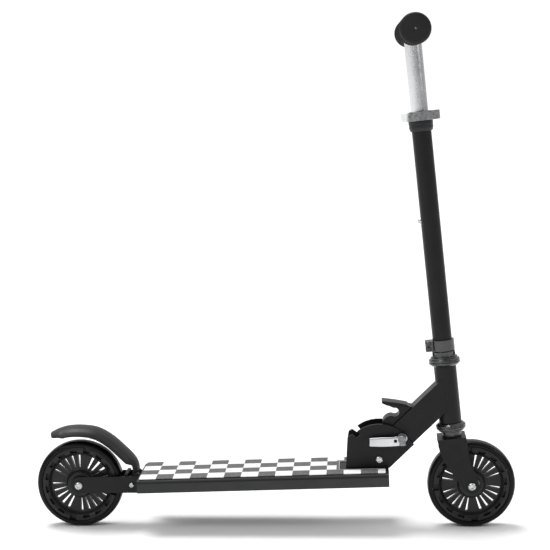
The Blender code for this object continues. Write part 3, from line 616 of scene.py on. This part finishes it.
# The deck's coat carries a painted shade over its top and rounded corners.
DECK_GREY_PAINTED_SHADE = DeckCoatWithPaintedShade(
    "deck_grey_coat_painted_shade", "deck_grey", (0.028, 0.0285, 0.029), (0.038, 0.0385, 0.039), (0.42, 0.6),
    grain=1200.0, depth=0.00006, specular=0.22,
)
TAPE = ChequerTape(
    "chequered_grip_tape", "grip_tape", (0.05, 0.05, 0.05), (0.8, 0.8, 0.8), (0.7, 0.92),
    grain=1500.0, depth=0.0002, specular=0.2,
)
BRIGHT_TUBE = Finish(
    "drawn_alloy_tube", "bright_alloy", (0.62, 0.63, 0.64), (0.74, 0.75, 0.76), (0.2, 0.3), metallic=1.0,
    grain=2400.0, depth=0.00002, stretch=(1.0, 1.0, 0.02), lean=5.57,
)
BRIGHT_CAST = Finish(
    "tumbled_alloy_casting", "bright_alloy", (0.15, 0.153, 0.156), (0.32, 0.325, 0.33), (0.3, 0.5),
    metallic=1.0, patch=260.0, grain=900.0, depth=0.0002,
)
# The height lever's free end carries a painted highlight.
CAST_PAINTED_TIP_HIGHLIGHT = CastWithPaintedTipHighlight(
    "casting_painted_tip_highlight", "bright_alloy", (0.17, 0.173, 0.176), (0.36, 0.365, 0.37), (0.28, 0.48),
    metallic=1.0, patch=260.0, grain=900.0, depth=0.0002,
)
BRUSHED_LEVER = Finish(
    "brushed_lever", "bright_alloy", (0.46, 0.47, 0.475), (0.62, 0.63, 0.635), (0.24, 0.38), metallic=1.0,
    grain=2200.0, depth=0.00003, stretch=(0.03, 1.0, 1.0),
)
ZINC = Finish(
    "zinc_plate", "zinc_steel", (0.42, 0.43, 0.44), (0.62, 0.63, 0.64), (0.2, 0.36), metallic=1.0,
    patch=300.0, grain=1800.0, depth=0.00003,
)
RUBBER = Finish(
    "moulded_grip_rubber", "black_rubber", (0.006, 0.006, 0.0065), (0.011, 0.011, 0.0115), (0.45, 0.65),
    grain=1600.0, depth=0.0001, specular=0.25,
)
TYRE = Finish(
    "cast_tyre", "tyre", (0.002, 0.002, 0.0022), (0.0045, 0.0045, 0.005), (0.24, 0.36), grain=500.0,
    depth=0.00003, specular=0.16,
)
HUB = Finish(
    "moulded_hub", "hub_plastic", (0.009, 0.009, 0.0095), (0.015, 0.015, 0.0155), (0.36, 0.5),
    grain=1500.0, depth=0.00006, specular=0.3,
)
FENDER = Finish(
    "moulded_fender", "fender_plastic", (0.015, 0.015, 0.016), (0.021, 0.021, 0.0225), (0.36, 0.5),
    grain=1700.0, depth=0.00007, specular=0.24,
)


def dress(finish: Finish, *nodes: str) -> None:
    """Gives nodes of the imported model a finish, leaving their shape alone."""
    for node in nodes:
        data = frame["nodes"][node].data
        data.materials.clear()
        data.materials.append(finish.material())
        LOG.info("%s keeps its own shape", node)


# --- Sub-assemblies ------------------------------------------------------------------------------


def bolt(
    shell: Shell,
    place: Place,
    axis: Axis,
    start: float,
    head: tuple[float, float],
    shank: tuple[float, float],
    socket: float,
    at: tuple[float, float, float] = (0, 0, 0),
) -> Shell:
    """Adds a button-head bolt with a six-sided socket.

    Each ring of the profile has radius r * (1 - m + m * f(a)), where f(a) = cos 30 / cos(a mod 60 - 30)
    draws a hexagon and m is 1 on the socket's rings and 0 on the others.

    Args:
        shell: Where the surface is added.
        place: Frame of the sub-assembly.
        axis: Direction from the shank to the head.
        start: Height at which the head stands.
        head: Radius and height of the head.
        shank: Radius and length of the shank.
        socket: Radius of the socket's corners.
        at: Where the axis passes.

    Returns:
        The shell.
    """
    wide, tall = head
    profile = [(0, tall * 0.42, 1), (socket * 0.96, tall * 0.42, 1), (socket, tall * 0.97, 1)]
    profile += [(socket * 1.15, tall, 0), (wide * 0.68, tall * 0.96, 0), (wide * 0.9, tall * 0.7, 0)]
    profile += [(wide, tall * 0.32, 0), (wide, 0.04, 0), (wide * 0.98, 0, 0), (shank[0], 0, 0)]
    profile += [(shank[0], -shank[1] + 0.5, 0), (shank[0] - 0.5, -shank[1], 0), (0, -shank[1], 0)]
    table = np.array(profile)[:, :, None]
    angle = np.radians(np.arange(0, 360, 10))
    hexagon = math.cos(math.pi / 6) / np.cos(np.mod(angle, np.pi / 3) - np.pi / 6)
    radius = table[:, 0] * (1 - table[:, 2] + table[:, 2] * hexagon)
    local = axis.lay(radius * np.cos(angle), radius * np.sin(angle), start + table[:, 1] + 0 * angle)
    return shell.grid(place.world(local + np.array(at)), False, True)


@dataclass
class Wheel:
    """A cast tyre on a slotted hub, with its bearings, axle bolt, nut and spacers."""

    name: str
    body: str
    carrier: str
    place: Place
    cheek: float
    turn: float = 5.0
    slot_inner: float = 21.0
    slot_outer: float = 39.8
    dash_radius: float = 46.3

    def build(self) -> None:
        """Makes every part of the wheel."""
        self.tyre()
        self.hub()
        self.axle()
        for side in ("left", "right"):
            dress(ZINC, f"{self.name}_bearing_{side}", f"{self.name}_spacer_{side}")
        dress(ZINC, f"{self.name}_axle_nut")

    def tyre(self) -> None:
        """Turns the tyre: a rounded tread with a fine parting line and a step at each side wall."""
        side = [(52.35, -11.5), (54.6, -12), (56.4, -11.6), (58.6, -9.8), (59.7, -6.5), (60, -1.2)]
        side += [(60, -0.25), (59.85, 0)]
        profile = side + [(r, -h) for r, h in reversed(side[:-1])]
        Shell().turned(profile, self.place, Axis.LEFT, sides=128, soften=1.4).piece(
            f"{self.name}_cast_tyre", TYRE, self.body, f"{self.name}_tyre"
        )

    def hub(self) -> None:
        """Turns the hub with a thin web, then cuts its slots, dashes and notches."""
        side = [(11.2, -12.9), (15.8, -12.9), (17, -11.8), (18.8, -4.8), (20.2, -3.6), (40.4, -3.6)]
        side += [(42.4, -6.4), (44, -9.4), (47.6, -11.1), (52.2, -10.6)]
        profile = side + [(r, -h) for r, h in reversed(side)]
        shell = Shell().turned(profile, self.place, Axis.LEFT, sides=120, soften=0.8)
        hub = shell.piece(f"{self.name}_slotted_hub", HUB, self.body, f"{self.name}_hub")
        carve(hub, self.cuts())

    def cuts(self) -> Shell:
        """The hub's cuts: 20 tapered slots right through, and from both sides 13 dashes and 3 notches.

        A cut is a box in polar form: its corner (r, w, y) goes to r along its angle, w across it.

        Returns:
            The shell of all cuts.
        """
        slots = self.turn + 45 + 90 * np.arange(4)[:, None] + 15.2 * (np.arange(5) - 2)[None]
        every = self.turn + 22.5 * np.arange(16)
        notch = np.isin(np.arange(16), (4, 8, 12))
        cuts = Shell()
        self.boxes(cuts, slots.ravel(), (self.slot_inner, self.slot_outer), (0.75, 1.6), (-20, 20))
        inner, outer, past_rim = self.dash_radius - 2, self.dash_radius + 2, 53
        for depths in ((-20, -5.5), (5.5, 20)):
            self.boxes(cuts, every[~notch], (inner, outer), (4.6, 4.9), depths)
            self.boxes(cuts, every[notch], (inner, past_rim), (4.6, 4.6), depths)
        return cuts

    def boxes(self, cuts: Shell, angles: np.ndarray, radii: tuple[float, float], halves: tuple[float, float],
              depths: tuple[float, float]) -> None:
        """Adds one tapered box for each angle to the cuts."""
        inner, outer = radii
        corners = np.array([(inner, -halves[0]), (outer, -halves[1]), (outer, halves[1]), (inner, halves[0])])
        turn = np.radians(angles)[:, None]
        x = corners[:, 0] * np.cos(turn) - corners[:, 1] * np.sin(turn)
        z = corners[:, 0] * np.sin(turn) + corners[:, 1] * np.cos(turn)
        for across, up in zip(x, z):
            rings = [np.stack([across, np.full(4, y), up], axis=-1) for y in depths]
            cuts.grid(self.place.world(np.array(rings)), False, True, cap=True)

    def axle(self) -> None:
        """Makes the axle bolt, with its head on the right."""
        reach = 2 * self.cheek + 6.0
        shell = bolt(Shell(), self.place, Axis.RIGHT, self.cheek + 0.3, (5.7, 3.2), (4.0, reach), 2.9)
        shell.piece(f"{self.name}_axle_button_bolt", ZINC, self.carrier, f"{self.name}_axle_bolt")


@dataclass
class Deck:
    """The deck, its tape and the fold bracket with its lever, whose cam turns at y = cam."""

    cam: float = -26.2

    def build(self) -> None:
        """Makes the deck's parts."""
        eased("deck_shell", "deck_channel", DECK_GREY_PAINTED_SHADE, 0.5)
        self.tape()
        eased("fold_bracket", "fold_bracket_plate", SATIN_BLACK, 0.7)
        shell = bolt(Shell(), Place(144.1, 96.4), Axis.RIGHT, 18.8, (5.2, 3.2), (4.0, 43.3), 2.6)
        shell.piece("fold_pivot_button_bolt", ZINC, "deck", "fold_pivot_bolt")
        self.lever()
        dress(ZINC, "bracket_bolt_front", "bracket_bolt_rear")
        dress(ZINC, "fold_pivot_nut", "fold_skewer", "fold_skewer_nut")

    def tape(self) -> None:
        """Lays the grip tape and maps its tiles: U = (x - rear) / tile, and V runs 0 to 4 across it."""
        outline = [(TAPE_REAR, -TAPE_HALF), (TAPE_FRONT, -TAPE_HALF), (TAPE_FRONT, -CUT_HALF)]
        outline += [(CUT_REAR, -CUT_HALF), (CUT_REAR, CUT_HALF), (TAPE_FRONT, CUT_HALF)]
        outline += [(TAPE_FRONT, TAPE_HALF), (TAPE_REAR, TAPE_HALF)]
        tape = Shell().plate(outline, 0.3, 1.4, DECK, edge=0.25, soften=2.0, flat=True)
        piece = tape.piece("chequered_tape", TAPE, "deck", "grip_tape")
        mesh = piece.data
        points = np.empty(len(mesh.vertices) * 3, np.float32)
        mesh.vertices.foreach_get("co", points)
        local = DECK.local(points.reshape(-1, 3))
        across = (local[:, 1] + TAPE_HALF) * 4 / (2 * TAPE_HALF)
        uv = np.stack([(local[:, 0] - TAPE_REAR) / TILE, across], axis=1)
        corner = np.empty(len(mesh.loops), np.int32)
        mesh.loops.foreach_get("vertex_index", corner)
        layer = mesh.uv_layers.new(name="tiles")
        layer.data.foreach_set("uv", uv[corner].astype(np.float32).ravel())

    def lever(self) -> None:
        """Makes the cam lever: a bowed strip with a window, and a barrel with an open end.

        The strip's middle line is y = -28.6 - 2.2 sin(pi t) + 3t, for t from 0 to 1. Its section is a
        flattened ring, |y/1.25|^4 + |z/h|^4 = 1, whose half height h = 6.4 (1 - 0.12 t^6) shrinks a
        little at the free end.
        """
        t = np.linspace(0, 1, 40)[:, None]
        angle = 2 * np.pi * np.arange(32) / 32
        c, s = np.cos(angle), np.sin(angle)
        bow = -28.6 - 2.2 * np.sin(np.pi * t) + 3 * t
        thick = 1.25 * np.sign(c) * np.abs(c) ** 0.5
        tall = 6.4 * np.sign(s) * np.abs(s) ** 0.5 * (1 - 0.12 * t**6)
        strip = np.stack([2 - 46 * t + 0 * angle, bow + thick, -1.3 - 2.9 * t + tall], axis=-1)
        shell = Shell().grid(SKEWER.world(strip), False, True, cap=True)
        piece = shell.piece("fold_cam_lever", BRUSHED_LEVER, "fold_lever", "fold_lever")
        barrel = Shell().turned([(0, -7.9), (5.6, -7.9), (5.6, 5.3), (0, 5.3)], SKEWER, Axis.UP,
                                (0, self.cam, 0), sides=48, ring=False)
        boss = [(0, 0), (5.6, 0), (5.6, 4.9), (4.8, 5.7), (3.4, 5.8), (3, 5.1), (0, 5.1)]
        barrel.turned(boss, SKEWER, Axis.RIGHT, (0, self.cam, 0.4), sides=48, ring=False, soften=0.4)
        eye = barrel.piece("fold_lever_eye", BRIGHT_CAST, "fold_lever")
        opening = [(-3.7, -3.6), (9, -3.6), (9, 3.6), (-3.7, 3.6)]
        window = [(-11.2, -3.4), (-7, -3.4), (-7, 0.8), (-11.2, 0.8)]
        cuts = Shell().plate(opening, self.cam - 3.6, self.cam + 9, SKEWER, edge=0.2, soften=0.4)
        carve(eye, cuts)
        carve(piece, cuts.plate(window, -36, -20, SKEWER, edge=0.2, soften=0.8))


@dataclass
class Tail:
    """The rear wheel's bracket and the brake fender over the wheel."""

    thick: float = 2.6

    def build(self) -> None:
        """Makes the bracket, brace, fender, pad and pin."""
        eased("tail_bracket", "tail_bracket_plate", SATIN_BLACK, 0.6)
        eased("tail_brace", "tail_brace_bar", DECK_GREY_PAINTED_SHADE, 0.6)
        self.fender()
        eased("brake_pad", "brake_shoe", RUBBER, 0.8)
        shell = bolt(Shell(), FENDER_PIN, Axis.RIGHT, 19.7, (3.7, 3.0), (2.6, 43.0), 1.7)
        shell.piece("fender_pin_bolt", ZINC, "deck", "fender_pin")
        dress(ZINC, "fender_pin_nut", "fender_spring")

    @staticmethod
    def crown(t: np.ndarray) -> np.ndarray:
        """The fender's crown line: cubic arcs through knots, each as steep there as its neighbours' chord.

        Args:
            t: Places along the line, 0 at the tail and 1 at the foot.

        Returns:
            Array (len(t), 2) of x and z from the rear axle's ground point.
        """
        knots = [(-39.5, 131.5), (-27.4, 137.2), (-13.4, 140.6), (3.4, 141.2), (21.5, 139), (35.3, 133.3)]
        knots += [(49, 124.1), (61.3, 112.9), (73.5, 100.7), (80.4, 91), (82.6, 80.8), (81.4, 71)]
        line = np.array(knots)
        last = len(line) - 1
        i = np.clip((t * last).astype(int), 0, last - 1)
        f = (t * last - i)[:, None]
        a, b, c, d = (line[np.clip(i + k, 0, last)] for k in (-1, 0, 1, 2))
        cubic = 2 * b + (c - a) * f + (2 * a - 5 * b + 4 * c - d) * f**2 + (3 * b - a - 3 * c + d) * f**3
        return 0.5 * cubic

    def fender(self) -> None:
        """Sweeps the fender: across its crown, y = w sin a and the surface sinks by d (1 - cos a).

        The half width w and the drop d shrink to a rounded tip at the tail and narrow near the foot. A
        shallow rib runs along each shoulder.
        """
        t = np.linspace(0, 1, 110)
        line = self.crown(t)
        along = np.gradient(line, axis=0)
        along /= np.linalg.norm(along, axis=1, keepdims=True)
        out = np.stack([-along[:, 1], along[:, 0]], axis=1)
        narrow = np.clip((t - 0.72) / 0.12, 0, 1)
        narrow = narrow**2 * (3 - 2 * narrow)
        half = (22 - 7.6 * narrow) * (0.62 + 0.38 * np.sqrt(np.clip(t / 0.1, 0, 1)))
        drop = (13 - 4.5 * narrow) * (0.45 + 0.55 * np.clip(t / 0.12, 0, 1))
        angle = np.radians(np.linspace(-86, 86, 57))
        rib = 0.35 * np.exp(-(((np.abs(angle) - 0.72) / 0.07) ** 2)) * np.clip(8 * t, 0, 1)[:, None]
        sheets = []
        for wall, a in ((0.0, angle), (self.thick, angle[::-1])):
            raise_rib = rib if wall == 0 else 0.0 * rib
            sink = drop[:, None] * (1 - np.cos(a)) + wall * np.cos(a) - raise_rib
            y = (half[:, None] - wall) * np.sin(a)
            x = line[:, 0][:, None] - out[:, 0][:, None] * sink
            z = line[:, 1][:, None] - out[:, 1][:, None] * sink
            sheets.append(np.stack([x, y, z - WHEEL_RADIUS], axis=-1))
        skin = np.concatenate(sheets, axis=1)
        shell = Shell().grid(REAR_AXLE.world(skin), False, True, cap=True)
        foot = [(-6.4, 2), (8.6, 2), (10.2, 14), (6.5, 16), (-6.4, 6)]
        for low, high in ((-14.3, -7), (7, 14.3)):
            shell.plate(foot, low, high, FENDER_PIN, edge=0.8, soften=1.6)
            ring = [(3, low - 0.3 * (low < 0)), (6.4, low), (6.4, high), (3, high + 0.3 * (high > 7))]
            shell.turned(ring, FENDER_PIN, Axis.LEFT, sides=48)
        shell.piece("brake_fender", FENDER, "fender", "fender")


@dataclass
class Neck:
    """The neck, head tube, headset and release hook."""

    head_low: float = 146.0
    head_high: float = 225.0

    def build(self) -> None:
        """Makes the front frame's parts."""
        eased("neck_tube", "neck_box", SATIN_BLACK, 1.3)
        low, high = self.head_low, self.head_high
        tube = [(13.2, low), (15.25, low), (15.25, high), (13.2, high)]
        Shell().turned(tube, COLUMN, Axis.UP, sides=72).piece(
            "head_barrel", SATIN_BLACK, "front_frame", "head_tube"
        )
        self.cups()
        self.hook()
        dress(ZINC, "headset_bearing_upper", "headset_bearing_lower")

    def cups(self) -> None:
        """Turns the two headset cups, each with a flange, a groove and a seal lip."""
        cup = [(12, 0.3), (17.6, 0.3), (18.6, 1.2), (21.1, 3.4), (21.3, 5.4), (20.3, 6.1), (21.1, 6.9)]
        cup += [(20.9, 9.2), (18.6, 10.2), (18.4, 12.2), (17.4, 12.8), (15.5, 12.8), (15.5, 3), (12, 3)]
        upper = [(r, self.head_high + h) for r, h in cup]
        lower = [((r - 0.9 if r > 16 else r), self.head_low - h * 0.92) for r, h in cup]
        for name, profile in (("upper", upper), ("lower", lower)):
            Shell().turned(profile, COLUMN, Axis.UP, sides=96, soften=0.4).piece(
                f"{name}_headset_flange", CAST_BLACK, "front_frame", f"headset_cup_{name}"
            )

    def hook(self) -> None:
        """Makes the finger hook from its outline, with the edges well rounded."""
        outline = [(39.2, 20.3), (83, 20.3), (79.8, 23.6), (79.6, 27.6), (70.4, 40.4), (58.9, 54.4)]
        outline += [(57.3, 54), (56.5, 52.2), (58.6, 46.5), (61.4, 41.8)]
        outline += circle(60.3, 31.6, 6.1, 62, -170, 20)
        outline += [(50.6, 33.4), (46.5, 34.6), (41.5, 34.6), (38.2, 32.5), (36.4, 28.5), (36.2, 24.6)]
        outline += [(37, 22.2)]
        Shell().plate(outline, -12, 12, NECK, edge=0.7, soften=1.4).piece(
            "finger_hook", SATIN_BLACK, "release_hook", "release_hook"
        )


@dataclass
class Column:
    """The fork, the steering tubes and their clamps, whose lever is a lip taller than the clamp."""

    clamp_low: float = 246.3
    button: float = 424.5
    clamp_foot: float = 559.3
    clamp_top: float = 570.5
    lip: float = 0.4

    def build(self) -> None:
        """Makes the steering body's parts."""
        eased("fork", "fork_blades", SATIN_BLACK, 0.6, bend=2.6)
        self.locknut()
        top = self.clamp_top - 1
        tube = [(11.9, self.clamp_low), (13.1, self.clamp_low), (13.1, top), (11.9, top)]
        lower = Shell().turned(tube, COLUMN, Axis.UP, sides=72, soften=0.4)
        lower = lower.piece("steering_tube", SATIN_BLACK, "steering", "lower_tube")
        hole = Shell().turned([(0, 6), (3.9, 6), (3.9, 20), (0, 20)], COLUMN, Axis.BACK, (0, 0, self.button),
                              sides=40, soften=0.0, ring=False)
        carve(lower, hole)
        eased("lower_clamp", "foot_clamp", CAST_BLACK, 0.7)
        self.bush()
        eased("height_clamp", "height_clamp_ring", BRIGHT_CAST, 0.8)
        self.height_lever()
        self.snap_button()
        for height, name in ((250.0, "low"), (257.4, "high")):
            shell = bolt(Shell(), COLUMN, Axis.RIGHT, 8.3, (3.3, 2.4), (2.0, 17.6), 1.5, (-19.6, 0, height))
            shell.piece(f"foot_clamp_screw_{name}", CAST_BLACK, "steering", f"lower_clamp_bolt_{name}")
        dress(ZINC, "fork_steerer", "height_clamp_bolt", "height_clamp_nut", "button_spring")
        dress(CAST_BLACK, "crown_race")

    def locknut(self) -> None:
        """Turns the locknut and cuts its six spanner notches."""
        profile = [(11.8, 238.2), (15.6, 238.2), (15.6, 245), (14.6, 245.8), (11.8, 245.8)]
        nut = Shell().turned(profile, COLUMN, Axis.UP, sides=72, soften=0.5)
        nut = nut.piece("spanner_locknut", CAST_BLACK, "steering", "headset_locknut")
        notches = Shell()
        rim = np.array([(-4.4, 239.4), (4.4, 239.4), (4.7, 242), (4.4, 244.4), (-4.4, 244.4), (-4.7, 242)])
        for turn in np.radians(np.arange(6) * 60 + 30):
            ends = []
            for reach in (13.4, 18.0):
                x = reach * math.cos(turn) - rim[:, 0] * math.sin(turn)
                y = reach * math.sin(turn) + rim[:, 0] * math.cos(turn)
                ends.append(np.stack([x, y, rim[:, 1]], axis=-1))
            notches.grid(COLUMN.world(np.array(ends)), False, True, cap=True)
        carve(nut, notches)

    def bush(self) -> None:
        """Turns the bush under the height clamp, with a lip and a groove."""
        low = 544.4
        profile = [(13.4, 0), (14.6, 0), (15.4, 1.6), (16.1, 4), (16.2, 7), (15.7, 7.6), (16.3, 8.2)]
        profile += [(16.4, 13.4), (15.6, 14.5), (13.4, 14.5)]
        Shell().turned([(r, low + h) for r, h in profile], COLUMN, Axis.UP, sides=72, soften=0.4).piece(
            "clamp_bush", HUB, "steering", "tube_bush"
        )

    def height_lever(self) -> None:
        """Makes the height clamp's curved lever on its round barrel."""
        outline = [(0, 2.2)] + circle(0, 0, 5.2, 90, -35, 14)
        outline += [(-8, -6.4), (-22, -8.2), (-36, -7.6), (-46.5, -3.4), (-47, -1.2), (-36, -5.2)]
        outline += [(-22, -5.9), (-9, -4), (-4, 2.2)]
        moved = [(x + 20.6, y - 17.4) for x, y in outline]
        low, high = self.clamp_foot - self.lip, self.clamp_top + self.lip
        lever = Shell().plate(moved, low, high, COLUMN, edge=0.5, soften=1.2, flat=True)
        lever.piece("height_cam_lever", CAST_PAINTED_TIP_HIGHLIGHT, "height_lever", "height_clamp_lever")

    def snap_button(self) -> None:
        """Turns the snap button with a domed end."""
        profile = [(0, 4), (1.3, 3.85), (2.4, 3.45), (3.2, 2.6), (3.5, 1.4), (3.5, -4), (0, -4)]
        profile = [(r, h + 13.1) for r, h in profile]
        at = (0, 0, self.button)
        dome = Shell().turned(profile, COLUMN, Axis.BACK, at, sides=48, ring=False, soften=0.5)
        dome.piece("domed_snap_button", ZINC, "height_button", "height_button")


@dataclass
class Handlebar:
    """The height tube, the cross bar and the two grips."""

    height: float = 677.2
    half: float = 146.0

    def build(self) -> None:
        """Makes the handlebar's parts."""
        eased("upper_tube", "height_tube", BRIGHT_TUBE, 0.2)
        bar = [(9.4, -self.half), (11, -self.half), (11, self.half), (9.4, self.half)]
        Shell().turned(bar, COLUMN, Axis.LEFT, (0, 0, self.height), sides=72, soften=0.4).piece(
            "cross_bar", BRIGHT_TUBE, "handlebar", "handlebar"
        )
        for side, axis in (("left", Axis.LEFT), ("right", Axis.RIGHT)):
            self.grip(side, axis)

    def grip(self, side: str, axis: Axis) -> None:
        """Turns a grip: two flanges, an end disc with a vent and a barrel with fine rings.

        Between the flanges the radius is that of a straight taper plus 0.3 mm of a raised cosine,
        one ring every 3.4 mm.
        """
        along = np.linspace(140, 58, 260)
        barrel = 15.0 + 0.8 * ((along - 99) / 41) ** 2 + 0.3 * np.cos(2 * np.pi * along / 3.4)
        profile = [(1.8, 149.6), (2.6, 150), (16.4, 150), (18.6, 149.4), (20, 147.4), (20, 145)]
        profile += [(18.6, 143.6), (16, 142.6), *zip(barrel, along), (16.2, 54.2), (18.4, 52.8), (20, 51)]
        profile += [(20, 48.8), (18.8, 47.5), (11.5, 47.5), (11.5, 146.6), (1.8, 146.6)]
        Shell().turned(profile, COLUMN, axis, (0, 0, self.height), sides=80, soften=0.35).piece(
            f"ringed_grip_{side}", RUBBER, "handlebar", f"grip_{side}"
        )


# --- Studio --------------------------------------------------------------------------------------


@dataclass
class Studio:
    """A pale floor, soft light and the camera."""

    eye: tuple[float, float, float] = (0.12390, -2.13395, 0.62620)
    yaw: float = 0.056
    pitch: float = 0.129
    roll: float = -0.0137
    lens: float = 103.81

    def build(self) -> None:
        """Sets the stage up, with plain display colours so that white stays white."""
        bpy.context.scene.view_settings.view_transform = "Standard"
        self.floor()
        self.sky()
        self.lamp("key_light", (-1.6, -1.8, 2.2), (0.0, 0.0, 0.3), 1.0, 26.0)
        self.lamp("fill_light", (2.2, -1.2, 1.6), (0.1, 0.0, 0.3), 0.9, 12.0)
        self.sun("overhead_light", (-0.25, 0.2, 1.0), 2.5, 26.0)
        self.camera()

    def floor(self) -> None:
        """Lays a wide pale floor with a faint mottle."""
        mesh = bpy.data.meshes.new("floor")
        size = 40.0
        corners = [(-size, -size, 0), (size, -size, 0), (size, size, 0), (-size, size, 0)]
        mesh.from_pydata(corners, [], [(0, 1, 2, 3)])
        finish = Finish("pale_floor", "deck_grey", (0.84, 0.84, 0.84), (0.88, 0.88, 0.88), (0.7, 0.85),
                        patch=2.0, grain=300.0, depth=0.00001, specular=0.1)
        mesh.materials.append(finish.material())
        obj = bpy.data.objects.new("floor", mesh)
        bpy.context.scene.collection.objects.link(obj)

    @staticmethod
    def sky() -> None:
        """Surrounds the scene with white: even as a backdrop, brighter from above and behind as a light.

        The light's strength along a direction (x, y, z) is 0.25 + 0.35 y + 0.55 z, kept within 0.08 and 1.
        """
        world = bpy.data.worlds.new("studio")
        bpy.context.scene.world = world
        world.use_nodes = True
        nodes = Nodes(world.node_tree)
        seen = nodes.add("ShaderNodeLightPath").outputs["Is Camera Ray"]
        split = nodes.add("ShaderNodeSeparateXYZ", {0: nodes.add("ShaderNodeTexCoord").outputs["Generated"]})
        lit = nodes.math("MULTIPLY", split.outputs[1], 0.35)
        lit = nodes.math("ADD", nodes.math("ADD", lit, nodes.math("MULTIPLY", split.outputs[2], 0.55)), 0.25)
        lit = nodes.math("MINIMUM", nodes.math("MAXIMUM", lit, 0.08), 1.0)
        strength = nodes.math("MAXIMUM", lit, nodes.math("MULTIPLY", seen, 1.05))
        background = world.node_tree.nodes["Background"]
        background.inputs["Color"].default_value = (1.0, 1.0, 1.0, 1.0)
        world.node_tree.links.new(strength, background.inputs["Strength"])

    @staticmethod
    def lamp(name: str, at: tuple[float, float, float], to: tuple[float, float, float], size: float,
             power: float) -> None:
        """Hangs a square soft lamp that faces a point."""
        data = bpy.data.lights.new(name, "AREA")
        data.size, data.energy = size, power
        obj = bpy.data.objects.new(name, data)
        bpy.context.scene.collection.objects.link(obj)
        ahead = np.array(to) - np.array(at)
        ahead /= np.linalg.norm(ahead)
        right = np.cross(ahead, (0.0, 0.0, 1.0))
        right /= np.linalg.norm(right)
        turn = np.stack([right, np.cross(right, ahead), -ahead], axis=1)
        obj.matrix_world = Matrix.Translation(at) @ Matrix(turn.tolist()).to_4x4()

    @staticmethod
    def sun(name: str, source: tuple[float, float, float], strength: float, spread: float) -> None:
        """Adds a wide sun, which lights the whole floor evenly.

        Args:
            name: The lamp's name.
            source: Direction that the light comes from.
            strength: Its strength.
            spread: Its width in degrees.
        """
        data = bpy.data.lights.new(name, "SUN")
        data.energy, data.angle = strength, math.radians(spread)
        obj = bpy.data.objects.new(name, data)
        bpy.context.scene.collection.objects.link(obj)
        obj.rotation_euler = Vector(source).to_track_quat("Z", "Y").to_euler()

    def camera(self) -> None:
        """Puts the camera at its place: yaw to the left, then pitch down, then roll."""
        data = bpy.data.cameras.new("camera")
        data.lens, data.sensor_width = self.lens, 36.0
        data.clip_end = 200.0
        obj = bpy.data.objects.new("camera", data)
        bpy.context.scene.collection.objects.link(obj)
        cy, sy, cp, sp = math.cos(self.yaw), math.sin(self.yaw), math.cos(self.pitch), math.sin(self.pitch)
        ahead = np.array((-sy * cp, cy * cp, -sp))
        right0 = np.array((cy, sy, 0.0))
        up0 = np.cross(right0, ahead)
        cr, sr = math.cos(self.roll), math.sin(self.roll)
        turn = np.stack([right0 * cr + up0 * sr, -right0 * sr + up0 * cr, -ahead], axis=1)
        obj.matrix_world = Matrix.Translation(self.eye) @ Matrix(turn.tolist()).to_4x4()
        bpy.context.scene.camera = obj


def main() -> None:
    """Builds the stage and every sub-assembly."""
    logging.basicConfig(level=logging.INFO, format="%(name)s %(message)s")
    Studio().build()
    Deck().build()
    Tail().build()
    Neck().build()
    Column().build()
    Handlebar().build()
    Wheel("rear", "rear_wheel", "deck", REAR_AXLE, 19.4, turn=167.0).build()
    Wheel("front", "front_wheel", "steering", FRONT_AXLE, 22.0).build()


if __name__ == "__main__":
    main()
